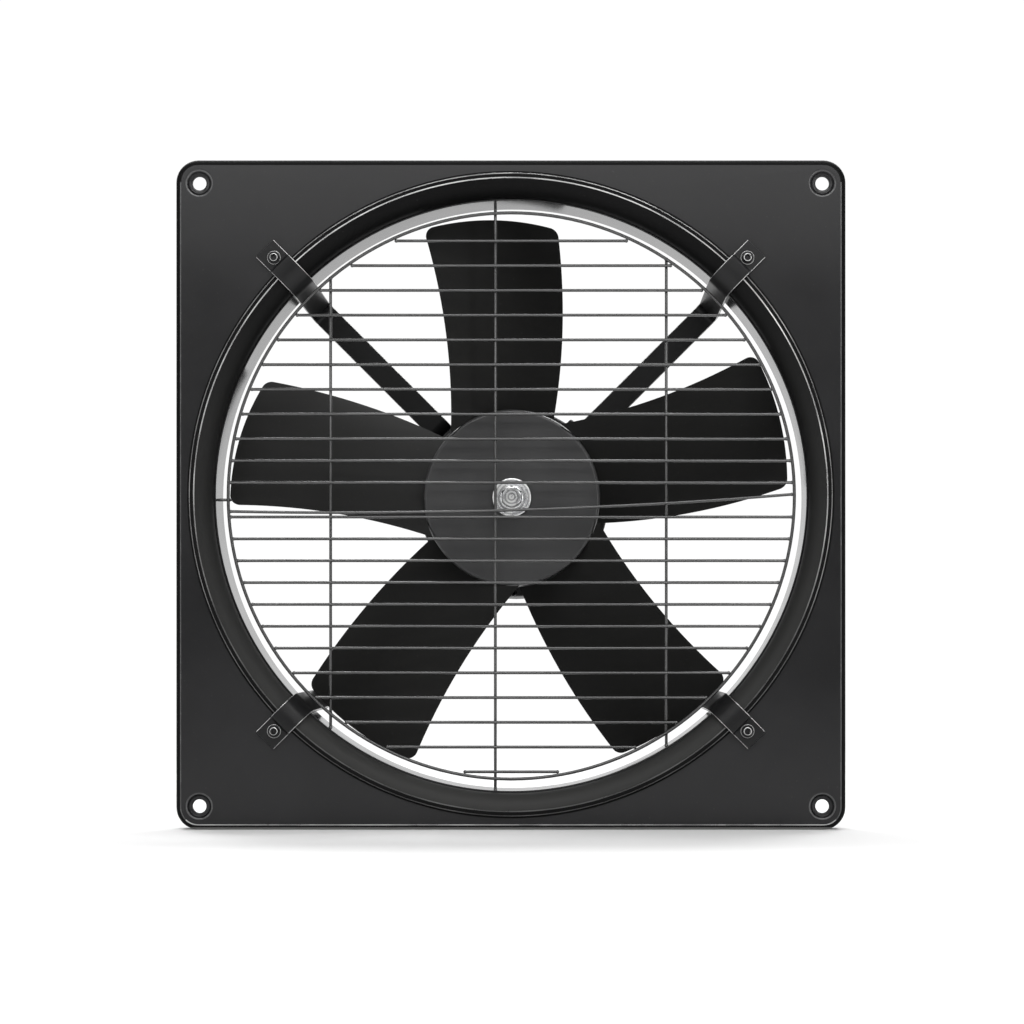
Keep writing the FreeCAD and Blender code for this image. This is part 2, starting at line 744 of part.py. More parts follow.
def motor_shields():
    bearing_seat = "(bearing_radius + fit_gap)"
    boss = f"({bearing_seat} + bearing_boss)"
    spigot = f"({barrel_bore} - fit_gap)"
    spigot_bore = f"({spigot} - spigot_wall)"
    hole = "(shaft_radius + shaft_set/2)"
    front_wall = front_bearing_start
    boss_end = f"({front_bearing_start} + bearing_width)"
    spigot_end = f"({barrel_front} + spigot_length)"
    front = turned([
        (hole, motor_front),
        ("barrel_radius - shield_edge", motor_front),
        ("barrel_radius", f"{motor_front} + shield_edge"),
        ("barrel_radius", barrel_front),
        (spigot, barrel_front),
        (spigot, spigot_end),
        (spigot_bore, spigot_end),
        (spigot_bore, front_wall),
        (boss, front_wall),
        (boss, boss_end),
        (bearing_seat, boss_end),
        (bearing_seat, front_wall),
        (hole, front_wall),
    ])
    rear_wall = f"({motor_rear} - shield_wall)"
    rear = turned([
        ("0", rear_wall),
        (bearing_seat, rear_wall),
        (bearing_seat, rear_bearing_start),
        (boss, rear_bearing_start),
        (boss, rear_wall),
        (spigot_bore, rear_wall),
        (spigot_bore, f"{barrel_rear} - spigot_length"),
        (spigot, f"{barrel_rear} - spigot_length"),
        (spigot, barrel_rear),
        ("barrel_radius", barrel_rear),
        ("barrel_radius", f"{motor_rear} - shield_edge"),
        ("barrel_radius - shield_edge", motor_rear),
        ("0", motor_rear),
    ])
    screw_hole = "shield_screw_radius + thread_gap"
    for shield, start, depth, label in ((front, motor_front, "shield_depth", "motor_front_shield"),
                                        (rear, barrel_rear, "rear_shield_depth", "motor_rear_shield")):
        sketch = new_sketch(shield, "XZ_Plane", f"-{start}")
        for place in (shield_screw, f"-{shield_screw}"):
            circle(sketch, place, "0", screw_hole)
            circle(sketch, "0", place, screw_hole)
        extrude(shield, "Pocket", sketch, depth)
        finish(shield, label)
    screws = new_body()
    shank = f"{shield_screw} + shield_screw_radius"
    head = f"{shield_screw} + shield_screw_head"
    sets = []
    for face, away in ((motor_front, "-"), (motor_rear, "+")):
        into = "+" if away == "-" else "-"
        top = f"{face} {away} shield_screw_head_height"
        point = f"{face} {into} shield_screw_length"
        sets.append(turned_aside(screws, [
            (shield_screw, top),
            (head, top),
            (head, face),
            (shank, face),
            (shank, point),
            (shield_screw, point),
        ], shield_screw, motor_rear))
    around(screws, sets)
    finish(screws, "shield_screws")


def motor_barrel():
    solids = [rod("0", barrel_front, "0", "barrel_radius", "barrel_length")]
    pad_start = f"({tab_start} - pad_margin)"
    pad_length = f"({tab_end} + pad_margin - {pad_start})"
    holes = [rod("0", f"{barrel_front} - barrel_wall", "0", barrel_bore, "barrel_length + 2*barrel_wall")]
    for angle in arm_angles:
        solids.append(primitive("Box", turn(angle), f"pad_width/2*sin({angle})", pad_start,
                                f"-pad_width/2*cos({angle})", Length=pad_radius, Width=pad_length,
                                Height="pad_width"))
        start = "(barrel_radius - 2*barrel_wall)"
        holes.append(primitive("Cylinder", turn(angle) * along_x, f"{start}*cos({angle})", tab_bolt,
                               f"{start}*sin({angle})", Radius="pad_bolt_radius + thread_gap",
                               Height="4*pad_height"))
    solids.append(box("-box_width/2", box_front, "0", "box_width", "box_length", box_bottom))
    screw_room = "shield_screw_radius + thread_gap"
    for x, z in ((1, 0), (0, 1), (-1, 0), (0, -1)):
        for start in (barrel_front, f"{barrel_rear} - shield_screw_length"):
            holes.append(rod(f"{shield_screw}*({x})", start, f"{shield_screw}*({z})", screw_room,
                             "shield_screw_length"))
    finish(cut(joined(solids), holes), "motor_barrel")


def pad_fixings():
    washer_top = f"({tab_outside} + pad_washer_thick)"
    bolts = new_body()
    hexes = new_sketch(bolts, "YZ_Plane", washer_top)
    outline(hexes, hexagon(tab_bolt, "0", "pad_bolt_corner"))
    head = extrude(bolts, "Pad", hexes, "pad_bolt_head")
    shanks = new_sketch(bolts, "YZ_Plane", washer_top)
    circle(shanks, tab_bolt, "0", "pad_bolt_radius")
    shank = extrude(bolts, "Pad", shanks, "pad_bolt_length", back=True)
    around(bolts, [head, shank])
    finish(bolts, "pad_bolts", arm_angles[0])
    washers = new_body()
    rings = new_sketch(washers, "YZ_Plane", tab_outside)
    circle(rings, tab_bolt, "0", "pad_washer_radius")
    circle(rings, tab_bolt, "0", "pad_bolt_radius + screw_hole_gap")
    washer = extrude(washers, "Pad", rings, "pad_washer_thick")
    around(washers, [washer])
    finish(washers, "pad_washers", arm_angles[0])


def motor_inside():
    for label, start in (("front_bearing", front_bearing_start), ("rear_bearing", rear_bearing_start)):
        finish(turned([
            ("shaft_radius + running_gap", start),
            ("bearing_radius", start),
            ("bearing_radius", f"{start} + bearing_width"),
            ("shaft_radius + running_gap", f"{start} + bearing_width"),
        ]), label)
    finish(turned([
        ("rotor_radius + air_gap", core_front),
        (f"{barrel_bore} - fit_gap", core_front),
        (f"{barrel_bore} - fit_gap", core_rear),
        ("rotor_radius + air_gap", core_rear),
    ]), "stator_core")
    finish(turned([
        ("shaft_body + thread_gap", core_front),
        ("rotor_radius", core_front),
        ("rotor_radius", core_rear),
        ("shaft_body + thread_gap", core_rear),
    ]), "rotor_core")
    windings = new_body()
    low = "rotor_radius + air_gap + winding_inset"
    high = f"{barrel_bore} - spigot_wall - winding_inset"
    for start in (f"{core_front} - winding_depth", core_rear):
        sketch = new_sketch(windings, "XY_Plane")
        outline(sketch, rectangle(low, high, start, f"{start} + winding_depth"))
        revolve(windings, sketch)
    finish(windings, "stator_windings")


def terminal_box():
    left = "(-box_width/2)"
    right = "(box_width/2)"
    screw_places = [(f"{side}*(box_width/2 - lid_screw_inset)", y) for side in ("-1", "1")
                    for y in (f"{box_front} + lid_screw_inset", f"{box_rear} - lid_screw_inset")]
    middle = f"({box_front} + box_length/2)"
    gland_height = f"({box_bottom} + box_height/2)"

    body = new_body()
    base = new_sketch(body, "XY_Plane", box_bottom)
    outline(base, rectangle(left, right, box_front, box_rear))
    extrude(body, "Pad", base, "box_height")
    cavity = new_sketch(body, "XY_Plane", box_top)
    inner_x = "(box_width/2 - box_wall)"
    corner_x = "(box_width/2 - box_corner)"
    inner_y = (f"({box_front} + box_wall)", f"({box_rear} - box_wall)")
    corner_y = (f"({box_front} + box_corner)", f"({box_rear} - box_corner)")
    outline(cavity, [
        (f"-{corner_x}", inner_y[0]),
        (corner_x, inner_y[0]),
        (inner_x, corner_y[0]),
        (inner_x, corner_y[1]),
        (corner_x, inner_y[1]),
        (f"-{corner_x}", inner_y[1]),
        (f"-{inner_x}", corner_y[1]),
        (f"-{inner_x}", corner_y[0]),
    ])
    extrude(body, "Pocket", cavity, "box_height - box_floor")
    drill(body, "SubtractiveCylinder", along_y, "0", f"{box_rear} - 2*box_wall", gland_height,
          Radius="gland_thread + thread_gap", Height="4*box_wall")
    threads = new_sketch(body, "XY_Plane", box_top)
    for x, y in screw_places:
        circle(threads, x, y, "lid_screw_radius + thread_gap")
    extrude(body, "Pocket", threads, "lid_screw_length")
    finish(body, "terminal_box")

    for label, bottom, thick in (("lid_gasket", box_top, "gasket_thick"),
                                 ("terminal_box_lid", lid_bottom, "lid_thick")):
        cover = new_body()
        sheet = new_sketch(cover, "XY_Plane", bottom)
        outline(sheet, rectangle(left, right, box_front, box_rear))
        for x, y in screw_places:
            circle(sheet, x, y, "lid_screw_radius + thread_gap")
        extrude(cover, "Pad", sheet, thick)
        finish(cover, label)

    screws = []
    for x, y in screw_places:
        head = rod(x, y, lid_top, "lid_screw_head", "lid_screw_head_height", along_z)
        shank = rod(x, y, f"{lid_top} - lid_screw_length", "lid_screw_radius", "lid_screw_length", along_z)
        screws.append(joined([head, shank]))
    finish(group(screws), "lid_screws")

    block = box("-block_width/2", f"{middle} - block_length/2", f"{box_bottom} + box_floor",
                "block_width", "block_length", "block_height")
    finish(group([block]), "terminal_block")

    body_rear = f"({box_rear} + gland_body_length)"
    cap_rear = f"({body_rear} + gland_cap_length)"
    finish(turned([
        ("gland_bore", f"{box_rear} - box_wall"),
        ("gland_thread", f"{box_rear} - box_wall"),
        ("gland_thread", box_rear),
        ("gland_body", box_rear),
        ("gland_body", body_rear),
        ("gland_cap", body_rear),
        ("gland_cap", f"{cap_rear} - gland_cap/2"),
        ("gland_cap - gland_cap/3", cap_rear),
        ("gland_bore", cap_rear),
    ]), "cable_gland", height=gland_height)


wall_plate()
for index, angle in enumerate(arm_angles, start=1):
    support_arm(f"support_arm_{index}", angle)
foot_fasteners()
guard_ring()
cross_wires()
upright_wires()
hub()
hub_fixings()
for index, angle in enumerate(blade_angles, start=1):
    blade(f"blade_{index}", angle)
motor_shields()
motor_barrel()
pad_fixings()
motor_inside()
terminal_box()
doc.recompute()

failed = [thing.Label for thing in doc.Objects if {"Invalid", "Error"} & set(thing.State)]
failed += [thing.Label for thing in nodes if thing.Shape.isNull() or not thing.Shape.isValid()]
if failed:
    raise RuntimeError("these did not build: " + ", ".join(failed))

os.makedirs("parts", exist_ok=True)
for thing in nodes:
    thing.Shape.exportStep(f"parts/{thing.Label}.step")
    print(f"{thing.Label}: {len(thing.Shape.Solids)} solids, {thing.Shape.Volume:.0f} mm3")
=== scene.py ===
import bpy
import bmesh
import json
import math
from mathutils import Matrix, Vector


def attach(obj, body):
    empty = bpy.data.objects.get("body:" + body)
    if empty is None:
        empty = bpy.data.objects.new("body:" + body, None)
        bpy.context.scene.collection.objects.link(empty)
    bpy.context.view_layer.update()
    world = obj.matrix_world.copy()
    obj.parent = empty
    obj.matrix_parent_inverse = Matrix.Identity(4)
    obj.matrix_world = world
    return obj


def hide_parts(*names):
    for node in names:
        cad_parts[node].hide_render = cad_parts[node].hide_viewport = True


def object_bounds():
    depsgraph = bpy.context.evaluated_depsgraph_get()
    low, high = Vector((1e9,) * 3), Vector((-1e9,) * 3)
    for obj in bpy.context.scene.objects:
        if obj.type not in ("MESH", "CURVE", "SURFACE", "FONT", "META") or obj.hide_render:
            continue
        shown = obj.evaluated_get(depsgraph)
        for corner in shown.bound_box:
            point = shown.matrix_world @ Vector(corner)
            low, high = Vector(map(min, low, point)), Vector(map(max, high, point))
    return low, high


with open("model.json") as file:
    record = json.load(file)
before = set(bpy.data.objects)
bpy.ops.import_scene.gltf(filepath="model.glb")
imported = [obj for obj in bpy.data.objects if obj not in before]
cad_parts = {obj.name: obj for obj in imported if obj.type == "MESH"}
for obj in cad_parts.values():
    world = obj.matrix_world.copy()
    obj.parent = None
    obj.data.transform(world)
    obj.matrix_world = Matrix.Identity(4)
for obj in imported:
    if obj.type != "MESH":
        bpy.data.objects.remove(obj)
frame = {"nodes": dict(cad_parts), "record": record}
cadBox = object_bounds()
nodes = frame["nodes"]
print("frame loaded,", len(nodes), "CAD nodes")


# camera: square on to the plate, a little right of and below the fan axis
eye = dict(distance=2.0, aside=0.045, below=0.120, face=-0.0025, lens=87.3, sensor=36.0,
           shift=(-0.0534, 0.1286), clip=(0.05, 40.0))


def placeCamera(s):
    data = bpy.data.cameras.new("photoCamera")
    data.lens, data.sensor_width = s["lens"], s["sensor"]
    data.shift_x, data.shift_y = s["shift"]
    data.clip_start, data.clip_end = s["clip"]
    cam = bpy.data.objects.new("photoCamera", data)
    cam.location = (s["aside"], s["face"] - s["distance"], -s["below"])
    cam.rotation_euler = (math.radians(90), 0, 0)
    bpy.context.scene.collection.objects.link(cam)
    bpy.context.scene.camera = cam


placeCamera(eye)


def newMaterial(name):
    mat = bpy.data.materials.new(name)
    mat.use_nodes = True
    tree = mat.node_tree
    return mat, tree, tree.nodes["Principled BSDF"]


def addNoise(tree, place, scale, detail):
    noise = tree.nodes.new("ShaderNodeTexNoise")
    noise.inputs["Scale"].default_value = scale
    noise.inputs["Detail"].default_value = detail
    tree.links.new(place.outputs["Object"], noise.inputs["Vector"])
    return noise.outputs["Fac"]


def addRamp(tree, source, span, dark, light):
    ramp = tree.nodes.new("ShaderNodeValToRGB")
    for stop, position, tone in zip(ramp.color_ramp.elements, span, (dark, light)):
        stop.position = position
        stop.color = (*tone, 1)
    tree.links.new(source, ramp.inputs["Fac"])
    return ramp.outputs["Color"]


def addRange(tree, source, spans):
    change = tree.nodes.new("ShaderNodeMapRange")
    for socket, value in zip(("From Min", "From Max", "To Min", "To Max"), spans):
        change.inputs[socket].default_value = value
    tree.links.new(source, change.inputs["Value"])
    return change.outputs["Result"]


def addMath(tree, operation, first, second):
    step = tree.nodes.new("ShaderNodeMath")
    step.operation = operation
    tree.links.new(first, step.inputs[0])
    tree.links.new(second, step.inputs[1])
    return step.outputs[0]


def addAxes(tree, place):
    axes = tree.nodes.new("ShaderNodeSeparateXYZ")
    tree.links.new(place.outputs["Object"], axes.inputs["Vector"])
    return axes.outputs


# what all coats share: the detail of each noise, the span of it that counts, the tone of dust and of painted
# light, and of grooves
coat = dict(patchDetail=5.0, patchSpan=(0.32, 0.70), roughSpan=(0.3, 0.7), dustShare=0.45, dustDetail=2.0,
            dustSpan=(0.66, 0.80), dustAndLitTone=(0.30, 0.30, 0.29, 1), grainDetail=3.0, peelDepth=0.0004,
            ringBend=0.5, ringSpan=(0.10, 0.60), ringTone=(0.45, 0.45, 0.46))


# a coat of paint or plating: uneven tone, dust specks, painted light and shade that change with height,
# changing gloss, orange peel or turned rings
def coatedMetal(name, look):
    mat, tree, shader = newMaterial(name)
    links = tree.links
    place = tree.nodes.new("ShaderNodeTexCoord")
    patch = addNoise(tree, place, look["patchScale"], coat["patchDetail"])
    tint = addRamp(tree, patch, coat["patchSpan"], look["dark"], look["light"])
    dust = addNoise(tree, place, look["grainScale"] * coat["dustShare"], coat["dustDetail"])
    cover = addRamp(tree, dust, coat["dustSpan"], (0, 0, 0), (look["dust"],) * 3)
    if "heightShading" in look:                               # painted light and shade: a tone blended in by height
        heightShade = addRange(tree, addAxes(tree, place)["Z"], look["heightShading"])
        cover = addMath(tree, "MAXIMUM", cover, heightShade)
    blend = tree.nodes.new("ShaderNodeMix")
    blend.data_type = "RGBA"
    blend.inputs["B"].default_value = look.get("dustAndShadeTone", coat["dustAndLitTone"])
    links.new(cover, blend.inputs["Factor"])
    links.new(tint, blend.inputs["A"])
    tone = blend.outputs["Result"]
    rough = addRange(tree, patch, (*coat["roughSpan"], *look["rough"]))
    links.new(rough, shader.inputs["Roughness"])
    height = addNoise(tree, place, look["grainScale"], coat["grainDetail"])
    if "rings" in look:                              # marks left by a turning tool, round the fan axis
        wave = tree.nodes.new("ShaderNodeTexWave")
        wave.wave_type, wave.rings_direction = "RINGS", "Y"
        wave.inputs["Scale"].default_value = look["rings"]
        wave.inputs["Distortion"].default_value = coat["ringBend"]
        links.new(place.outputs["Object"], wave.inputs["Vector"])
        height = addMath(tree, "ADD", height, wave.outputs["Fac"])
        groove = addRamp(tree, wave.outputs["Fac"], coat["ringSpan"], coat["ringTone"], (1, 1, 1))
        shade = tree.nodes.new("ShaderNodeMix")
        shade.data_type, shade.blend_type = "RGBA", "MULTIPLY"
        shade.inputs["Factor"].default_value = 1.0
        links.new(tone, shade.inputs["A"])
        links.new(groove, shade.inputs["B"])
        tone = shade.outputs["Result"]
    links.new(tone, shader.inputs["Base Color"])
    peel = tree.nodes.new("ShaderNodeBump")
    peel.inputs["Strength"].default_value = look["peel"]
    peel.inputs["Distance"].default_value = coat["peelDepth"]
    links.new(height, peel.inputs["Height"])
    links.new(peel.outputs["Normal"], shader.inputs["Normal"])
    shader.inputs["Specular IOR Level"].default_value = look["gloss"]
    shader.inputs["Metallic"].default_value = look.get("metal", 0.0)
    return mat


finishes = {
    "plate_paint": dict(dark=(0.011, 0.011, 0.0115), light=(0.016, 0.016, 0.0166), patchScale=9,
                        grainScale=900, rough=(0.16, 0.21), peel=0.05, gloss=0.26, dust=0.04),
    # painted shade: near-black paint on the rim's fold and the lip's outer wall; its lowest millimetre
    # lightened as painted light from the floor
    "rimPaintedShading": dict(dark=(0.002, 0.002, 0.0021), light=(0.004, 0.004, 0.0041), patchScale=12,
                     grainScale=900, rough=(0.55, 0.65), peel=0.06, gloss=0.08, dust=0.02,
                     heightShading=(-0.2686, -0.2676, 0.60, 0.0)),
    # painted shade: the bell-mouth paint is darker than the plate, and lighter towards the bottom as painted
    # light from above
    "mouthPaintedShading": dict(dark=(0.002, 0.002, 0.0021), light=(0.004, 0.004, 0.0041), patchScale=11,
                       grainScale=900, rough=(0.44, 0.54), peel=0.08, gloss=0.08, dust=0.02,
                       heightShading=(-0.26, 0.18, 0.10, 0.0)),
    # painted highlight: bright bare metal on the lip's two rounds, faded to dark towards the bottom as
    # painted shade
    "lipPaintedHighlight": dict(dark=(0.300, 0.300, 0.300), light=(0.700, 0.700, 0.690), patchScale=26,
                    grainScale=1200, rough=(0.24, 0.34), peel=0.05, gloss=0.5, metal=0.8, dust=0.05,
                    heightShading=(-0.10, 0.0, 0.80, 0.0), dustAndShadeTone=(0.012, 0.012, 0.012, 1)),
    "ductPaint": dict(dark=(0.008, 0.008, 0.0084), light=(0.012, 0.012, 0.0125), patchScale=16,
                      grainScale=900, rough=(0.14, 0.20), peel=0.02, gloss=0.5, dust=0.02),
    # painted highlight: bright bare metal on edges and rings, laid where highlight lines fall
    "paintedEdgeHighlight": dict(dark=(0.240, 0.240, 0.240), light=(0.600, 0.600, 0.593), patchScale=40,
                     grainScale=1200, rough=(0.24, 0.34), peel=0.05, gloss=0.5, metal=0.8, dust=0.05),
    "arm_paint": dict(dark=(0.007, 0.007, 0.0073), light=(0.012, 0.012, 0.0124), patchScale=14,
                      grainScale=1100, rough=(0.28, 0.38), peel=0.03, gloss=0.20, dust=0.03),
    # painted highlight: lighter paint for thin light lines along the plate's side folds, round the dimples
    # and on the hub's rim
    "linePaintedHighlight": dict(dark=(0.034, 0.034, 0.0345), light=(0.060, 0.060, 0.0605), patchScale=60,
                      grainScale=1200, rough=(0.22, 0.30), peel=0.04, gloss=0.5, dust=0.03),
    "wire_paint": dict(dark=(0.024, 0.024, 0.024), light=(0.038, 0.038, 0.038), patchScale=30,
                       grainScale=1500, rough=(0.18, 0.26), peel=0.05, gloss=0.8, dust=0.03),
    "blade_paint": dict(dark=(0.0055, 0.0055, 0.0052), light=(0.0085, 0.0085, 0.0081), patchScale=8,
                        grainScale=1300, rough=(0.50, 0.60), peel=0.10, gloss=0.10, dust=0.03),
    "hub_paint": dict(dark=(0.012, 0.012, 0.0124), light=(0.018, 0.018, 0.0184), patchScale=20,
                      grainScale=1200, rough=(0.34, 0.42), peel=0.05, gloss=0.5, dust=0.03),
    "motor_paint": dict(dark=(0.010, 0.010, 0.0105), light=(0.016, 0.016, 0.0165), patchScale=22,
                        grainScale=700, rough=(0.42, 0.56), peel=0.16, gloss=0.45, dust=0.06),
    "box_paint": dict(dark=(0.011, 0.011, 0.0115), light=(0.016, 0.016, 0.0165), patchScale=30,
                      grainScale=900, rough=(0.40, 0.52), peel=0.12, gloss=0.45, dust=0.05),
    "zinc": dict(dark=(0.55, 0.56, 0.58), light=(0.74, 0.74, 0.73), patchScale=90, grainScale=1800,
                 rough=(0.22, 0.38), peel=0.05, gloss=0.5, metal=1.0, dust=0.0),
    "turnedZinc": dict(dark=(0.60, 0.61, 0.62), light=(0.80, 0.80, 0.79), patchScale=70, grainScale=1800,
                       rough=(0.22, 0.32), peel=0.08, gloss=0.5, metal=1.0, dust=0.0, rings=115),
    "black_screw": dict(dark=(0.016, 0.016, 0.017), light=(0.030, 0.030, 0.031), patchScale=120,
                        grainScale=1800, rough=(0.22, 0.32), peel=0.05, gloss=0.5, metal=0.8, dust=0.02),
    "shaft_steel": dict(dark=(0.36, 0.36, 0.37), light=(0.52, 0.52, 0.53), patchScale=60, grainScale=1500,
                        rough=(0.20, 0.34), peel=0.04, gloss=0.5, metal=1.0, dust=0.0),
    "core_steel": dict(dark=(0.20, 0.21, 0.23), light=(0.32, 0.33, 0.35), patchScale=40, grainScale=1200,
                       rough=(0.35, 0.5), peel=0.06, gloss=0.5, metal=1.0, dust=0.0),
    "copper": dict(dark=(0.36, 0.13, 0.05), light=(0.55, 0.24, 0.11), patchScale=70, grainScale=800,
                   rough=(0.25, 0.4), peel=0.10, gloss=0.5, metal=1.0, dust=0.0),
    "bearing_steel": dict(dark=(0.52, 0.52, 0.54), light=(0.64, 0.64, 0.66), patchScale=50, grainScale=1500,
                          rough=(0.12, 0.22), peel=0.03, gloss=0.5, metal=1.0, dust=0.0),
    "gasket": dict(dark=(0.012, 0.012, 0.012), light=(0.022, 0.022, 0.022), patchScale=60, grainScale=900,
                   rough=(0.70, 0.85), peel=0.10, gloss=0.3, dust=0.04),
    "gland": dict(dark=(0.014, 0.014, 0.0145), light=(0.022, 0.022, 0.0225), patchScale=80, grainScale=1000,
                  rough=(0.40, 0.52), peel=0.08, gloss=0.45, dust=0.03),
    "block": dict(dark=(0.50, 0.47, 0.39), light=(0.62, 0.60, 0.52), patchScale=60, grainScale=900,
                  rough=(0.40, 0.55), peel=0.05, gloss=0.45, dust=0.0),
}
materials = {slot: coatedMetal(slot, look) for slot, look in finishes.items()}
print("materials made:", len(materials))


def dressNodes():
    for part in frame["record"]["subparts"]:
        mesh = nodes[part["node"]].data
        mesh.materials.clear()
        mesh.materials.append(materials[part["material_slot"]])


dressNodes()


# shared modelling steps; small pieces are made round the Y axis and then set in place
fullTurn = 2 * math.pi
nearby, shortest = 1e-6, 1e-7                                  # closer points are one, shorter edges none
hexagon = dict(corners=6, crown=0.83, crownSteps=24)           # the chamfer's circle, in corner radii
facingY = Matrix.Rotation(math.radians(-90), 4, "X")          # a flat circle's axis laid along Y
flipped = Matrix.Rotation(math.pi, 4, "X")                     # +Y turned to face the front
outward = Matrix.Rotation(math.radians(-90), 4, "Z")           # +Y turned along +X
upward = Matrix.Rotation(math.radians(90), 4, "X")             # +Y turned along +Z
armAngles = (45, 135, 225, 315)


def aboutAxis(angle):
    return Matrix.Rotation(-math.radians(angle), 4, "Y")


def ringSpots(reach, y, turned, angles):
    return [aboutAxis(a) @ Matrix.Translation((reach, y, 0)) @ turned for a in angles]


def newVerts(result):
    return [v for v in result["geom"] if isinstance(v, bmesh.types.BMVert)]


def loopEdges(verts):
    held = set(verts)
    linked = dict.fromkeys(e for v in verts for e in v.link_edges)     # each edge once, in a fixed order
    return [e for e in linked if e.verts[0] in held and e.verts[1] in held]


# a face's distance from the Y axis, and its place along it
def whereIs(face):
    middle = face.calc_center_median()
    return math.hypot(middle.x, middle.z), middle.y


def soften(bm, geom, offset, segments, affect="EDGES"):
    return bmesh.ops.bevel(bm, geom=geom, affect=affect, offset=offset, segments=segments, profile=0.5,
                           material=-1)["faces"]


# corners are x, y and how far back from the corner its bend starts
def bentWire(corners, bends, closed=False):
    bm = bmesh.new()
    wire = [bm.verts.new((x, y, 0)) for x, y, bend in corners]
    for pair in zip(wire, wire[1:] + wire[:1] if closed else wire[1:]):
        bm.edges.new(pair)
    for vert, (x, y, bend) in zip(wire, corners):
        if bend:
            soften(bm, [vert], bend, bends, "VERTICES")
    return bm


def spinRound(bm, steps):
    bmesh.ops.spin(bm, geom=bm.verts[:] + bm.edges[:], cent=(0, 0, 0), axis=(0, 1, 0), angle=fullTurn,
                   steps=steps, use_merge=True)


def turnShape(corners, steps, bends, closed=False):
    bm = bentWire(corners, bends, closed)
    spinRound(bm, steps)
    return bm


def roundLoop(bm, radius, y, segments):
    spot = Matrix.Translation((0, y, 0)) @ facingY
    verts = bmesh.ops.create_circle(bm, segments=segments, radius=radius, matrix=spot)["verts"]
    return loopEdges(verts)


def growLoop(bm, edges, factor, rise):
    verts = newVerts(bmesh.ops.extrude_edge_only(bm, edges=edges))
    bmesh.ops.scale(bm, verts=verts, vec=(factor, 1, factor))
    bmesh.ops.translate(bm, verts=verts, vec=(0, rise, 0))
    return loopEdges(verts)


def hexBlock(bm, corner, low, high, chamfer):
    base = roundLoop(bm, corner, low, hexagon["corners"])
    top = growLoop(bm, base, 1, high - chamfer - low)
    crown = roundLoop(bm, corner * hexagon["crown"], high, hexagon["crownSteps"])
    bmesh.ops.bridge_loops(bm, edges=top + crown)
    return base, crown


def rimAt(bm, radius, y):
    level = [v for v in bm.verts if abs(v.co.y - y) < nearby]
    return loopEdges([v for v in level if abs(math.hypot(v.co.x, v.co.z) - radius) < nearby])


def hexSocket(bm, s):
    rim = rimAt(bm, s["rim"], s["top"])
    mouth = roundLoop(bm, s["corner"], s["top"], hexagon["corners"])
    bmesh.ops.bridge_loops(bm, edges=rim + mouth)
    floor = growLoop(bm, mouth, 1, -s["socket"])
    bmesh.ops.contextual_create(bm, geom=floor)


def softBox(s):
    bm = bmesh.new()
    low, high = Vector(s["low"]), Vector(s["high"])
    spot = Matrix.Translation((low + high) / 2) @ Matrix.Diagonal((*(high - low), 1))
    bmesh.ops.create_cube(bm, size=1, matrix=spot)
    soften(bm, bm.edges[:], s["soft"], s["bends"])
    return bm


def addShape(bm, kit, places=(Matrix.Identity(4),)):
    pattern = bpy.data.meshes.new("pattern")
    kit.to_mesh(pattern)
    kit.free()
    for place in places:
        copied = pattern.copy()
        copied.transform(place)
        bm.from_mesh(copied)
        bpy.data.meshes.remove(copied)
    bpy.data.meshes.remove(pattern)
    return bm


def repeatShape(kit, places):
    return addShape(bmesh.new(), kit, places)


def cleanShape(bm):
    bmesh.ops.remove_doubles(bm, verts=bm.verts[:], dist=nearby)
    bmesh.ops.dissolve_degenerate(bm, edges=bm.edges[:], dist=shortest)
    bmesh.ops.recalc_face_normals(bm, faces=bm.faces[:])


def finishPiece(name, bm, body, replaced, coats, sharp=40):
    for face in bm.faces:
        face.smooth = True
    for edge in bm.edges:
        edge.smooth = edge.calc_face_angle(0) < math.radians(sharp)
    mesh = bpy.data.meshes.new(name)
    bm.to_mesh(mesh)
    bm.free()
    for painted in coats:
        mesh.materials.append(materials[painted])
    piece = bpy.data.objects.new(name, mesh)
    bpy.context.scene.collection.objects.link(piece)
    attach(piece, body)
    if replaced:
        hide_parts(*replaced)
    return piece


def evenShade(piece):
    shade = piece.modifiers.new("evenShade", "WEIGHTED_NORMAL")       # flats stay flat beside their bends
    shade.keep_sharp = True


# wall plate: pressed sheet with a folded rim, four dimples, a raised lip and the bell-mouth
plate = dict(half=0.270, corner=0.018, cornerBends=10, front=-0.0025, rim=0.022, bend=0.0045, rimBends=8,
             sheet=0.0015, steps=192, lipBends=24,
             lip=[(0.2607, -0.0025, 0), (0.2595, -0.0025, 0.0008), (0.2595, -0.0055, 0.002),
                  (0.2410, -0.0055, 0.0145), (0.2410, 0.0210, 0)],
             # rings, heights and radii where painted highlight and painted shade go on the lip, rim and
             # dimples
             rubbedHighlight=[(0.2547, 0.2553), (0.2582, 0.2590)], rubbedHighlightTo=-0.0045, shaded=0.2543,
             boltAt=0.251, bareHighlightEdge=-0.262, thinHighlight=(0.0097, 0.0108), dimpleSteps=40, dimpleBends=4,
             dimple=[(0.0118, -0.0025, 0), (0.0100, -0.0025, 0.0010), (0.0080, 0.0, 0.0005),
                     (0.0055, 0.0, 0)],
             coats=["plate_paint", "mouthPaintedShading", "paintedEdgeHighlight", "rimPaintedShading", "lipPaintedHighlight", "linePaintedHighlight"])


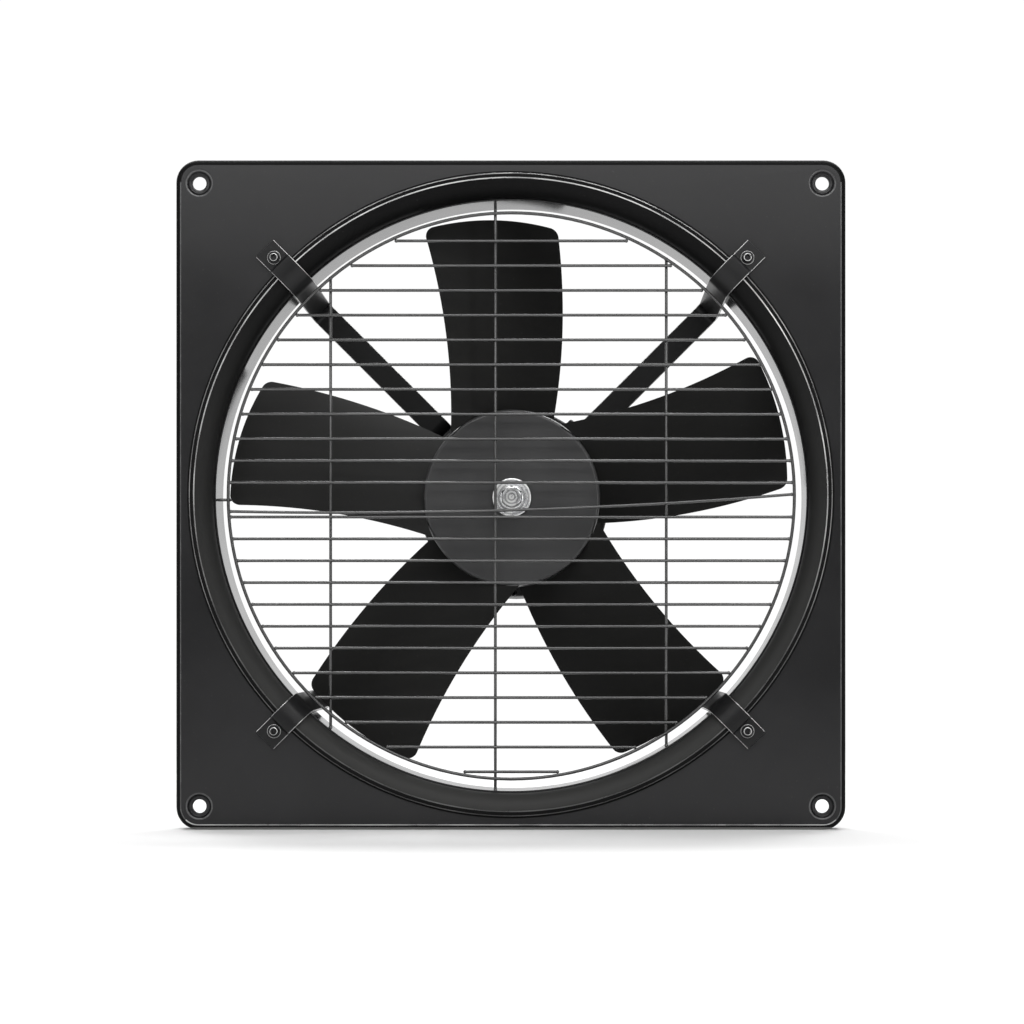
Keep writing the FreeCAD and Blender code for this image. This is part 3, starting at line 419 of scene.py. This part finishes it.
def makeWallPlate(s):
    paint, mouth, bareHighlight, shadowed, wornHighlight, thinHighlight = range(len(s["coats"]))       # places in the list of coats
    bm = bmesh.new()
    spots = [(-1, -1), (1, -1), (1, 1), (-1, 1)]
    corners = [bm.verts.new((x * s["half"], s["front"], z * s["half"])) for x, z in spots]
    bm.faces.new(corners)
    soften(bm, corners, s["corner"], s["cornerBends"], "VERTICES")
    rim = bmesh.ops.extrude_edge_only(bm, edges=bm.edges[:])
    bmesh.ops.translate(bm, verts=newVerts(rim), vec=(0, s["rim"], 0))
    fold = [e for e in bm.edges if all(abs(v.co.y - s["front"]) < nearby for v in e.verts)]
    soften(bm, fold, s["bend"], s["rimBends"])
    blank = max(bm.faces, key=lambda face: face.calc_area())
    # painted shade on the whole rim; along the fold's first row, bright metal at the bottom and lighter paint
    # on the sides as painted highlight, dark at the top
    for face in bm.faces:
        face.material_index = shadowed
    for edge in blank.edges:
        for face in edge.link_faces:
            height = face.calc_center_median().z
            higher = thinHighlight if height < s["boltAt"] else shadowed
            face.material_index = bareHighlight if height < s["bareHighlightEdge"] else higher
    bmesh.ops.delete(bm, geom=[blank], context="FACES_ONLY")
    throat = turnShape(s["lip"], s["steps"], s["lipBends"])
    # lip rounds in front get the bright metal of painted highlight; the rest of the lip outside the mouth
    # gets the dark painted shade
    for face in throat.faces:
        reach, depth = whereIs(face)
        rubbedHighlight = depth < s["rubbedHighlightTo"] and any(low < reach < high for low, high in s["rubbedHighlight"])
        face.material_index = wornHighlight if rubbedHighlight else shadowed if reach > s["shaded"] else mouth
    addShape(bm, throat)
    dimple = turnShape(s["dimple"], s["dimpleSteps"], s["dimpleBends"])
    # a ring of lighter paint round each dimple: painted highlight
    for face in dimple.faces:
        face.material_index = thinHighlight if s["thinHighlight"][0] < whereIs(face)[0] < s["thinHighlight"][1] else paint
    addShape(bm, dimple, [Matrix.Translation((x * s["boltAt"], 0, z * s["boltAt"])) for x, z in spots])
    seams = rimAt(bm, s["lip"][0][0], s["front"])
    ends = [e for e in bm.edges if e.is_boundary and abs(e.verts[0].co.y - s["front"]) < nearby]
    seams += [e for e in ends if e not in seams]
    bmesh.ops.triangle_fill(bm, use_beauty=True, use_dissolve=False, edges=seams, normal=(0, -1, 0))
    cleanShape(bm)
    if max(bm.faces, key=lambda face: face.calc_area()).normal.y > 0:
        bmesh.ops.reverse_faces(bm, faces=bm.faces[:])
    piece = finishPiece("wallPlate", bm, "frame", ["wall_plate"], s["coats"])
    wall = piece.modifiers.new("sheetThickness", "SOLIDIFY")
    wall.thickness, wall.offset = s["sheet"], -1
    wall.use_even_offset = True
    evenShade(piece)


makeWallPlate(plate)


# duct: a rolled ring inside the plate's collar
duct = dict(steps=192, bends=2, section=[(0.23945, 0.0110, 0.0003), (0.24095, 0.0110, 0.0003),
                                         (0.24095, 0.0545, 0.0005), (0.23945, 0.0545, 0.0005)])


def makeDuct(s):
    bm = turnShape(s["section"], s["steps"], s["bends"], closed=True)
    cleanShape(bm)
    evenShade(finishPiece("ductRing", bm, "frame", ["duct_ring"], ["ductPaint"]))


makeDuct(duct)
print("plate and duct made")


# support arms: flat bar bent from the plate over the lip, through the duct and on to the motor
arms = dict(width=0.020, edge=0.0005, edgeBends=2, toe=0.2794, bends=6, section=[
    (0.2800, -0.0025, 0), (0.2615, -0.0025, 0.0006), (0.2600, -0.0060, 0.0006), (0.23895, -0.0060, 0.01655),
    (0.23895, 0.15155, 0.009), (0.0910, 0.15155, 0.006), (0.0910, 0.18855, 0.0004),
    (0.0880, 0.18855, 0.0004), (0.0880, 0.14855, 0.009), (0.23595, 0.14855, 0.006),
    (0.23595, -0.0090, 0.01955), (0.2620, -0.0090, 0.0006), (0.2635, -0.0055, 0.0006), (0.2800, -0.0055, 0)])


def makeArms(s):
    for number, angle in enumerate(armAngles, start=1):
        bm = bentWire(s["section"], s["bends"], closed=True)
        side = bmesh.ops.contextual_create(bm, geom=bm.edges[:])["faces"]
        grown = newVerts(bmesh.ops.extrude_face_region(bm, geom=side))
        bmesh.ops.translate(bm, verts=grown, vec=(0, 0, s["width"]))
        bmesh.ops.translate(bm, verts=bm.verts[:], vec=(0, 0, -s["width"] / 2))
        cleanShape(bm)
        sides = sorted(bm.faces, key=lambda face: len(face.verts))[-2:]
        wornHighlight = [e for face in sides for e in face.edges]
        corner = Vector(s["section"][-1][:2])                    # the toe's front corner
        wornHighlight += [e for e in bm.edges if all((v.co.xy - corner).length < nearby for v in e.verts)]
        # the bevelled edges get bright metal as painted highlight lines, all but the toe
        for face in soften(bm, wornHighlight, s["edge"], s["edgeBends"]):
            face.material_index = int(face.calc_center_median().x < s["toe"])
        bmesh.ops.transform(bm, matrix=aboutAxis(angle), verts=bm.verts[:])
        evenShade(finishPiece(f"supportArm{number}", bm, "frame", [f"support_arm_{number}"],
                              ["arm_paint", "paintedEdgeHighlight"]))


makeArms(arms)
print("arms made")


# wire guard: a ring, cross wires inside it, uprights behind them, and welds sized in wire radii
guard = dict(ring=0.22995, ringWire=0.0013, ringAt=0.01455, ringSteps=(16, 176), wire=0.0012, wireSteps=14,
             wireEnd=0.45, endBends=2, crossAt=0.01485, uprightAt=0.01730, inside=0.22840, wall=0.23940,
             clear=0.004, drop=0.0031, spread=0.028, nearPitch=0.01775, farPitch=0.0201, above=(2, 8),
             below=(6, 5), uprights=[(-0.147, 0.22995), (-0.013, 0.23940), (0.126, 0.22995)],
             bow=dict(left=-0.0126, right=0.0013, radius=4.48, half=0.22793, steps=40), weldSteps=(8, 6),
             welds=dict(end=(1.25, 1.15), cross=(1.1, 0.8), ring=(1.4, 1.0), wall=(1.3, 1.3)))


def guardRows(s):
    rows = []
    for sign, (near, far) in ((1, s["above"]), (-1, s["below"])):
        height = sign * s["spread"] / 2 - s["drop"]
        pitches = [0] + [s["nearPitch"]] * near + [s["farPitch"]] * far
        for pitch in pitches:
            height += sign * pitch
            rows.append(height)
    return rows


# edges round the many-sided ends of a bar or block
def endEdges(edges):
    return [e for e in edges if any(len(face.verts) > 4 for face in e.link_faces)]


def addWire(bm, s, start, end):
    start, end = Vector(start), Vector(end)
    turned = (end - start).to_track_quat("Z", "Y").to_matrix().to_4x4()
    spot = Matrix.Translation((start + end) / 2) @ turned
    verts = bmesh.ops.create_cone(bm, cap_ends=True, segments=s["wireSteps"], radius1=s["wire"],
                                  radius2=s["wire"], depth=(end - start).length, matrix=spot)["verts"]
    soften(bm, endEdges(loopEdges(verts)), s["wire"] * s["wireEnd"], s["endBends"])


# the bowed wire's height, and its lean, at a distance across
def bowAt(b, x):
    climb = (b["right"] - b["left"]) / (2 * b["half"])
    centre = math.sqrt(b["radius"] ** 2 - b["half"] ** 2)
    sag = math.sqrt(b["radius"] ** 2 - x ** 2) - centre
    return (b["left"] + b["right"]) / 2 + climb * x - sag, climb + x / b["radius"]


def addBow(bm, s):
    b = s["bow"]
    loops = []
    for k in range(b["steps"] + 1):
        x = b["half"] * (2 * k / b["steps"] - 1)
        height, lean = bowAt(b, x)
        spot = Matrix.Translation((x, s["crossAt"], height)) @ Matrix.Rotation(math.pi / 2 - lean, 4, "Y")
        hoop = bmesh.ops.create_circle(bm, segments=s["wireSteps"], radius=s["wire"], matrix=spot)
        loops.append(hoop["verts"])
    for here, there in zip(loops, loops[1:]):
        bmesh.ops.bridge_loops(bm, edges=loopEdges(here) + loopEdges(there))
    for end in (loops[0], loops[-1]):
        bmesh.ops.contextual_create(bm, geom=loopEdges(end))
    bmesh.ops.recalc_face_normals(bm, faces=bm.faces[:])


def makeGuard(s):
    rows = guardRows(s)
    aroundWire, aroundRing = s["ringSteps"]
    ring = bmesh.new()
    section = Matrix.Translation((s["ring"], s["ringAt"], 0))
    bmesh.ops.create_circle(ring, segments=aroundWire, radius=s["ringWire"], matrix=section)
    spinRound(ring, aroundRing)
    cleanShape(ring)
    finishPiece("guardRing", ring, "frame", ["guard_ring"], ["wire_paint"])

    welds = bmesh.new()

    def addWeld(kind, x, y, z):
        wide, flat = (s["wire"] * share for share in s["welds"][kind])
        spot = Matrix.Translation((x, y, z)) @ Matrix.Diagonal((wide, flat, wide, 1))
        around, along = s["weldSteps"]
        bmesh.ops.create_uvsphere(welds, u_segments=around, v_segments=along, radius=1, matrix=spot)

    cross = bmesh.new()
    for z in rows:
        half = math.sqrt(s["inside"] ** 2 - (abs(z) + s["wire"]) ** 2)
        addWire(cross, s, (-half, s["crossAt"], z), (half, s["crossAt"], z))
        for side in (-1, 1):
            addWeld("end", side * half, s["crossAt"], z)
    addBow(cross, s)
    for side in (-1, 1):
        x = side * s["bow"]["half"]
        addWeld("end", x, s["crossAt"], bowAt(s["bow"], x)[0])
    finishPiece("guardCrossWires", cross, "frame", ["guard_cross_wires"], ["wire_paint"])

    uprights = bmesh.new()
    joint = (s["crossAt"] + s["uprightAt"]) / 2
    ringJoint = (s["ringAt"] + s["uprightAt"]) / 2
    for x, top in s["uprights"]:
        upper = math.sqrt(top ** 2 - (abs(x) + s["wire"]) ** 2)
        lower = math.sqrt(s["wall"] ** 2 - (abs(x) + s["wire"]) ** 2)
        addWire(uprights, s, (x, s["uprightAt"], -lower), (x, s["uprightAt"], upper))
        for z in rows + [bowAt(s["bow"], x)[0]]:
            if -lower < z < upper and math.hypot(x, z) < s["inside"] - s["clear"]:
                addWeld("cross", x, joint, z)
        reach = math.sqrt(s["ring"] ** 2 - x ** 2)
        for z in (-reach, reach):
            addWeld("ring", x, ringJoint, z)
        addWeld("wall", x, s["uprightAt"], -lower)
    prong = math.sqrt(s["wall"] ** 2 - (s["drop"] + s["wire"]) ** 2)
    root = s["ring"] - s["ringWire"] - s["wire"]
    addWire(uprights, s, (-prong, s["uprightAt"], -s["drop"]), (-root, s["uprightAt"], -s["drop"]))
    addWeld("ring", -s["ring"], ringJoint, -s["drop"])
    finishPiece("guardUprights", uprights, "frame", ["guard_upright_wires"], ["wire_paint"])
    finishPiece("guardWelds", welds, "frame", [], ["wire_paint"])


makeGuard(guard)
print("guard made:", len(guardRows(guard)), "rows")


# hub drum, and the zinc washer and bolt in its middle
hub = dict(steps=160, bends=6, thinHighlight=(0.0711, 0.0384), section=[
    (0.0054, 0.03655, 0.0003), (0.0725, 0.03655, 0.003), (0.0725, 0.09255, 0.0006),
    (0.0700, 0.09255, 0.0006), (0.0700, 0.03905, 0.002), (0.0054, 0.03905, 0)])
hubWasher = dict(steps=96, bends=2, section=[
    (0.0054, 0.03655, 0.0002), (0.0054, 0.03355, 0.0003), (0.0112, 0.03355, 0.0001),
    (0.0114, 0.03370, 0.0001), (0.0117, 0.03370, 0.0001), (0.0119, 0.03355, 0.0001),
    (0.0134, 0.03355, 0.0001), (0.0136, 0.03370, 0.0001), (0.0139, 0.03370, 0.0001),
    (0.0141, 0.03355, 0.0001), (0.0160, 0.03360, 0.0006), (0.0160, 0.03655, 0.0004)])
hubBolt = dict(seat=0.03355, steps=72, bends=2, corner=0.0092, low=0.0012, high=0.0080, chamfer=0.0008,
               flange=[(0, -0.0340, 0), (0.0050, -0.0340, 0.0006), (0.0050, 0, 0), (0.0100, 0, 0.0003),
                       (0.0100, 0.0009, 0.0004), (0.0084, 0.0016, 0.0003), (0, 0.0016, 0)],
               dish=[(0.93, 0), (0.92, -0.0006), (0.78, 0), (0.92, 0.0004), (0.70, 0), (0.85, -0.0004),
                     (0.45, 0)])


def makeHub():
    bm = turnShape(hub["section"], hub["steps"], hub["bends"], closed=True)
    cleanShape(bm)
    # the front rim's edge gets lighter paint as a painted highlight line
    for face in bm.faces:
        reach, depth = whereIs(face)
        face.material_index = int(reach > hub["thinHighlight"][0] and depth < hub["thinHighlight"][1])
    evenShade(finishPiece("hubDrum", bm, "rotor", ["hub_drum"], ["hub_paint", "linePaintedHighlight"]))
    bm = turnShape(hubWasher["section"], hubWasher["steps"], hubWasher["bends"], closed=True)
    cleanShape(bm)
    finishPiece("hubWasher", bm, "rotor", ["hub_washer"], ["turnedZinc"], sharp=50)
    s = hubBolt
    kit = turnShape(s["flange"], s["steps"], s["bends"])
    base, crown = hexBlock(kit, s["corner"], s["low"], s["high"], s["chamfer"])
    bmesh.ops.contextual_create(kit, geom=base)
    for factor, rise in s["dish"]:
        crown = growLoop(kit, crown, factor, rise)
    bmesh.ops.contextual_create(kit, geom=crown)
    cleanShape(kit)
    bm = repeatShape(kit, [Matrix.Translation((0, s["seat"], 0)) @ flipped])
    finishPiece("hubBolt", bm, "rotor", ["hub_bolt"], ["turnedZinc"], sharp=35)


makeHub()
print("hub made")


# screws and nuts that hold the arms' feet to the plate
footScrew = dict(reach=0.2692, seat=-0.0055, steps=24, bends=3,
                 thread=dict(start=-0.0145, pitch=0.0010, count=8, point=0.80, root=0.86),
                 head=[(0.0030, -0.0060, 0), (0.0030, 0.0, 0), (0.0056, 0.0, 0.0002),
                       (0.0056, 0.0011, 0.0004), (0.0040, 0.0012, 0.0002), (0.0038, 0.0042, 0.0015),
                       (0.0026, 0.0042, 0)],
                 top=0.0042, rim=0.0026, corner=0.0021, socket=0.0022,
                 rubbedHighlight=[(0.0051, 0.0056, 0.0006), (0.0027, 0.0031, 0.0038)])
footNut = dict(corner=0.0058, seat=-0.0010, height=0.0060, chamfer=0.0006, flat=0.80, sunk=0.0006,
               bore=0.00305, boreSteps=24)


def threadedEnd(radius, t):
    crests = [(0, t["start"], 0), (radius * t["point"], t["start"], 0)]
    for k in range(t["count"]):
        crests += [(radius, t["start"] + (k + 0.5) * t["pitch"], 0),
                   (radius * t["root"], t["start"] + (k + 1) * t["pitch"], 0)]
    return crests


def makeFootFixings():
    s = footScrew
    shank = threadedEnd(s["head"][0][0], s["thread"])
    kit = turnShape(shank + s["head"], s["steps"], s["bends"])
    hexSocket(kit, s)
    cleanShape(kit)
    # two rings on each head get bright metal as painted highlight
    for face in kit.faces:
        reach, height = whereIs(face)
        face.material_index = int(any(a < reach < b and height > c for a, b, c in s["rubbedHighlight"]))
    bm = repeatShape(kit, ringSpots(s["reach"], s["seat"], flipped, armAngles))
    finishPiece("footScrews", bm, "frame", ["foot_screws"], ["black_screw", "paintedEdgeHighlight"],
                sharp=35)
    n = footNut
    kit = bmesh.new()
    base, crown = hexBlock(kit, n["corner"], 0, n["height"], n["chamfer"])
    seatRing = roundLoop(kit, n["bore"], 0, n["boreSteps"])
    bmesh.ops.bridge_loops(kit, edges=base + seatRing)
    top = growLoop(kit, crown, n["flat"], 0)
    bore = growLoop(kit, top, n["bore"] / (n["corner"] * hexagon["crown"] * n["flat"]), -n["sunk"])
    bmesh.ops.bridge_loops(kit, edges=bore + seatRing)
    cleanShape(kit)
    bm = repeatShape(kit, ringSpots(s["reach"], n["seat"], Matrix.Identity(4), armAngles))
    finishPiece("footNuts", bm, "frame", ["foot_nuts"], ["black_screw"], sharp=35)


makeFootFixings()
print("foot screws and nuts made")


# motor: rolled barrel with four pads and a seat for its terminal box, and a ribbed rear shield
barrel = dict(steps=144, bends=3, section=[
    (0.0740, 0.11055, 0), (0.0800, 0.11055, 0.0008), (0.0800, 0.11750, 0.0005), (0.0788, 0.11830, 0.0004),
    (0.0788, 0.12030, 0.0004), (0.0800, 0.12110, 0.0005), (0.0800, 0.20000, 0.0005),
    (0.0788, 0.20080, 0.0004), (0.0788, 0.20280, 0.0004), (0.0800, 0.20360, 0.0005),
    (0.0800, 0.21055, 0.0008), (0.0740, 0.21055, 0)],
    pad=dict(low=(0.0745, 0.15555, -0.019), high=(0.088, 0.19055, 0.019), soft=0.0020, bends=3),
    seat=dict(low=(-0.032, 0.15255, 0.068), high=(0.032, 0.20855, 0.082), soft=0.0015, bends=3))
rearShield = dict(steps=144, bends=3, section=[
    (0, 0.22355, 0), (0.0065, 0.22355, 0.0005), (0.0085, 0.22455, 0.0008), (0.0300, 0.22455, 0.0016),
    (0.0325, 0.22130, 0.0012), (0.0680, 0.22130, 0.0012), (0.0705, 0.22455, 0.0012),
    (0.0800, 0.22455, 0.0014), (0.0800, 0.21055, 0.0005), (0.0700, 0.21055, 0),
    (0.0700, 0.21720, 0.0010), (0.0290, 0.21720, 0.0010), (0.0290, 0.20655, 0.0005),
    (0.0236, 0.20655, 0.0005), (0.0236, 0.22060, 0), (0, 0.22060, 0)],
    ribs=12, rib=dict(low=(0.027, 0.2190, -0.0016), high=(0.0715, 0.22415, 0.0016), soft=0.0006, bends=2))
shieldScrew = dict(reach=0.077, front=0.10055, rear=0.22455, angles=(0, 90, 180, 270), steps=24, bends=2,
                   head=[(0, -0.0240, 0), (0.0020, -0.0240, 0.0003), (0.0020, 0, 0), (0.0030, 0, 0.0002),
                         (0.0030, 0.0030, 0.0006), (0.0021, 0.0030, 0)],
                   top=0.0030, rim=0.0021, corner=0.0016, socket=0.0016)


def makeMotor():
    s = barrel
    bm = turnShape(s["section"], s["steps"], s["bends"], closed=True)
    addShape(bm, softBox(s["pad"]), [aboutAxis(a) for a in armAngles])
    addShape(bm, softBox(s["seat"]))
    cleanShape(bm)
    evenShade(finishPiece("motorBarrel", bm, "frame", ["motor_barrel"], ["motor_paint"]))

    s = rearShield
    bm = turnShape(s["section"], s["steps"], s["bends"])
    addShape(bm, softBox(s["rib"]), [aboutAxis((k + 0.5) * 360 / s["ribs"]) for k in range(s["ribs"])])
    cleanShape(bm)
    evenShade(finishPiece("motorRearShield", bm, "frame", ["motor_rear_shield"],
                          ["motor_paint"]))

    s = shieldScrew
    kit = turnShape(s["head"], s["steps"], s["bends"])
    hexSocket(kit, s)
    cleanShape(kit)
    spots = ringSpots(s["reach"], s["rear"], Matrix.Identity(4), s["angles"])
    spots += ringSpots(s["reach"], s["front"], flipped, s["angles"])
    bm = repeatShape(kit, spots)
    finishPiece("shieldScrews", bm, "frame", ["shield_screws"], ["black_screw"], sharp=35)


makeMotor()
print("motor made")


# bolts and washers on the motor's pads
padBolt = dict(reach=0.0926, at=0.17355, corner=0.0074, height=0.0053, chamfer=0.0007, dish=(0.72, -0.0003),
               shank=[(0, -0.0144, 0), (0.0040, -0.0144, 0.0005), (0.0040, 0.0010, 0), (0, 0.0010, 0)],
               steps=24, bends=4)
padWasher = dict(reach=0.0910, steps=40, bends=2, section=[
    (0.0043, 0, 0.0001), (0.0080, 0, 0.0002), (0.0080, 0.0016, 0.0004), (0.0043, 0.0016, 0.0002)])


def makePadFixings():
    s = padBolt
    kit = bmesh.new()
    base, crown = hexBlock(kit, s["corner"], 0, s["height"], s["chamfer"])
    crown = growLoop(kit, crown, *s["dish"])
    bmesh.ops.contextual_create(kit, geom=crown)
    bmesh.ops.contextual_create(kit, geom=base)
    addShape(kit, turnShape(s["shank"], s["steps"], s["bends"]))
    cleanShape(kit)
    bm = repeatShape(kit, ringSpots(s["reach"], s["at"], outward, armAngles))
    finishPiece("padBolts", bm, "frame", ["pad_bolts"], ["black_screw"], sharp=35)
    kit = turnShape(padWasher["section"], padWasher["steps"], padWasher["bends"], closed=True)
    cleanShape(kit)
    bm = repeatShape(kit, ringSpots(padWasher["reach"], s["at"], outward, armAngles))
    finishPiece("padWashers", bm, "frame", ["pad_washers"], ["black_screw"])


makePadFixings()
print("pad bolts made")


# terminal box with its gasket, lid, screws and cable gland
box = dict(half=0.032, front=0.15255, rear=0.20855, bottom=0.082, top=0.114, corner=0.004, cornerBends=6,
           soft=0.0006, softBends=2, gasketInset=0.0006)
lid = dict(bottom=0.1155, top=0.1180,
           panel=dict(low=(-0.0235, 0.16105, 0.1165), high=(0.0235, 0.20005, 0.1185), soft=0.0005, bends=3))
lidScrew = dict(inset=0.005, steps=24, bends=3,
                head=[(0, -0.0135, 0), (0.0015, -0.0135, 0.0003), (0.0015, 0, 0), (0.0030, 0, 0.0002),
                      (0.0030, 0.0020, 0.0012), (0.0017, 0.0020, 0)],
                top=0.0020, rim=0.0017, corner=0.0012, socket=0.0011)
gland = dict(height=0.098, at=0.20855, corner=0.0120, body=0.0060, chamfer=0.0007,
             cap=[(0.0096, 0.0058, 0), (0.0105, 0.0062, 0.0003), (0.0105, 0.0152, 0.0008),
                  (0.0072, 0.0200, 0.0014), (0.0058, 0.0200, 0.0004), (0.0056, 0.0150, 0),
                  (0.0056, 0.0058, 0)],
             grooves=24, capBends=3, gripArea=8e-6, gripEdge=0.00025, gripDepth=0.0005,
             seal=[(0.0058, 0.0170, 0.0005), (0.0045, 0.0180, 0.0006), (0.0045, 0.0060, 0.0003),
                   (0.0058, 0.0060, 0.0003)], sealSteps=32, sealBends=2)


def slab(s, low, high, shrink):
    bm = bmesh.new()
    size = Vector((2 * s["half"] - 2 * shrink, s["rear"] - s["front"] - 2 * shrink, high - low))
    middle = (0, (s["front"] + s["rear"]) / 2, (low + high) / 2)
    bmesh.ops.create_cube(bm, size=1, matrix=Matrix.Translation(middle) @ Matrix.Diagonal((*size, 1)))
    posts = [e for e in bm.edges if abs(e.verts[0].co.z - e.verts[1].co.z) > nearby]
    soften(bm, posts, s["corner"], s["cornerBends"])
    return bm


def makeTerminalBox():
    bm = slab(box, box["bottom"], box["top"], 0)
    soften(bm, endEdges(bm.edges), box["soft"], box["softBends"])
    cleanShape(bm)
    evenShade(finishPiece("terminalBox", bm, "frame", ["terminal_box"], ["box_paint"]))
    bm = slab(box, box["top"], lid["bottom"], box["gasketInset"])
    cleanShape(bm)
    evenShade(finishPiece("lidGasket", bm, "frame", ["lid_gasket"], ["gasket"]))
    bm = slab(box, lid["bottom"], lid["top"], 0)
    soften(bm, endEdges(bm.edges), box["soft"], box["softBends"])
    addShape(bm, softBox(lid["panel"]))
    cleanShape(bm)
    evenShade(finishPiece("terminalBoxLid", bm, "frame", ["terminal_box_lid"], ["box_paint"]))

    s = lidScrew
    kit = turnShape(s["head"], s["steps"], s["bends"])
    hexSocket(kit, s)
    cleanShape(kit)
    aside = box["half"] - s["inset"]
    ends = (box["front"] + s["inset"], box["rear"] - s["inset"])
    spots = [Matrix.Translation((x, y, lid["top"])) @ upward for x in (-aside, aside) for y in ends]
    finishPiece("lidScrews", repeatShape(kit, spots), "frame", ["lid_screws"], ["zinc"], sharp=35)

    s = gland
    kit = bmesh.new()
    base, crown = hexBlock(kit, s["corner"], 0, s["body"], s["chamfer"])
    bmesh.ops.contextual_create(kit, geom=base)
    bmesh.ops.contextual_create(kit, geom=crown)
    cap = turnShape(s["cap"], 2 * s["grooves"], s["capBends"], closed=True)
    bmesh.ops.recalc_face_normals(cap, faces=cap.faces[:])
    shell = [f for f in cap.faces if f.calc_area() > s["gripArea"]]
    grips = sorted(shell, key=lambda f: math.atan2(f.calc_center_median().z, f.calc_center_median().x))[::2]
    bmesh.ops.inset_individual(cap, faces=grips, thickness=s["gripEdge"], depth=-s["gripDepth"])
    addShape(kit, cap)
    addShape(kit, turnShape(s["seal"], s["sealSteps"], s["sealBends"], closed=True))
    cleanShape(kit)
    bm = repeatShape(kit, [Matrix.Translation((0, s["at"], s["height"]))])
    finishPiece("cableGland", bm, "frame", ["cable_gland"], ["gland"], sharp=35)


makeTerminalBox()
print("terminal box made")


# stage: a pale floor that keeps the shadow, swept up into a white backdrop well behind
stage = dict(floor=cadBox[0].z, front=-6.0, back=3.4, half=6.0, height=4.5, bend=0.9, bends=12,
             fade=(0.5, 1.3), near=dict(paint=0.74, glow=0.0), far=dict(paint=0.02, glow=1.0), rough=0.9)


def whitePaper(s):
    mat, tree, shader = newMaterial("whitePaper")
    links = tree.links
    back = addAxes(tree, tree.nodes.new("ShaderNodeTexCoord"))["Y"]
    paint, glow = (addRange(tree, back, (*s["fade"], s["near"][k], s["far"][k])) for k in ("paint", "glow"))
    path = tree.nodes.new("ShaderNodeLightPath").outputs
    seen = path["Is Camera Ray"]
    for ray in ("Is Glossy Ray", "Is Transmission Ray"):
        seen = addMath(tree, "MAXIMUM", seen, path[ray])
    links.new(paint, shader.inputs["Base Color"])
    links.new(addMath(tree, "MULTIPLY", seen, glow), shader.inputs["Emission Strength"])
    shader.inputs["Emission Color"].default_value = (1, 1, 1, 1)
    shader.inputs["Roughness"].default_value = s["rough"]
    shader.inputs["Specular IOR Level"].default_value = 0.0
    return mat


def makeStage(s):
    corners = [(s["front"], s["floor"], 0), (s["back"], s["floor"], s["bend"]), (s["back"], s["height"], 0)]
    bm = bentWire(corners, s["bends"])
    moved = newVerts(bmesh.ops.extrude_edge_only(bm, edges=bm.edges[:]))
    bmesh.ops.translate(bm, verts=moved, vec=(0, 0, 2 * s["half"]))
    bmesh.ops.translate(bm, verts=bm.verts[:], vec=(0, 0, -s["half"]))
    turned = Matrix(((0, 0, 1, 0), (1, 0, 0, 0), (0, 1, 0, 0), (0, 0, 0, 1)))      # drawn flat, then stood up
    bmesh.ops.transform(bm, matrix=turned, verts=bm.verts[:])
    bmesh.ops.recalc_face_normals(bm, faces=bm.faces[:])
    for face in bm.faces:
        face.smooth = True
    mesh = bpy.data.meshes.new("whiteSweep")
    bm.to_mesh(mesh)
    bm.free()
    mesh.materials.append(whitePaper(s))
    sweep = bpy.data.objects.new("whiteSweep", mesh)
    bpy.context.scene.collection.objects.link(sweep)


makeStage(stage)


# light: a dim grey room, soft boxes above and in front, a strip each side, and boxes high behind
room = dict(level=0.22)
softBoxes = [
    dict(name="topBox", at=(0.1, -1.5, 1.7), size=(2.2, 0.8), aim=(0, 0, 0.05), power=34),
    dict(name="leftStrip", at=(-1.35, -1.6, 0.25), size=(0.30, 1.8), aim=(0, 0, 0), power=8),
    dict(name="rightStrip", at=(1.20, -1.6, 0.25), size=(0.30, 1.8), aim=(0, 0, 0), power=10),
    dict(name="frontCard", at=(0.0, -2.6, 0.97), size=(3.2, 0.7), aim=(0, 0, 0.25), power=16),
    dict(name="overheadBox", at=(0.0, 0.95, 2.73), size=(3.4, 0.6), aim=(0, 0.95, 0), power=100),
    dict(name="backRightBox", at=(1.3, 1.9, 2.1), size=(0.9, 0.9), aim=(0, 0.1, 0), power=22),
    dict(name="backLeftBox", at=(-1.3, 1.9, 2.1), size=(0.9, 0.9), aim=(0, 0.1, 0), power=22),
]


def makeLights():
    world = bpy.data.worlds.new("studio")
    world.use_nodes = True
    world.node_tree.nodes["Background"].inputs["Color"].default_value = (1, 1, 1, 1)
    world.node_tree.nodes["Background"].inputs["Strength"].default_value = room["level"]
    bpy.context.scene.world = world
    for s in softBoxes:
        data = bpy.data.lights.new(s["name"], "AREA")
        data.shape = "RECTANGLE"
        data.size, data.size_y = s["size"]
        data.energy = s["power"]
        lamp = bpy.data.objects.new(s["name"], data)
        lamp.location = s["at"]
        lamp.rotation_mode = "QUATERNION"
        lamp.rotation_quaternion = (Vector(s["aim"]) - Vector(s["at"])).to_track_quat("-Z", "Y")
        lamp.visible_camera = False
        bpy.context.scene.collection.objects.link(lamp)


makeLights()
bpy.context.scene.view_settings.view_transform = "Standard"
print("stage and lights made")
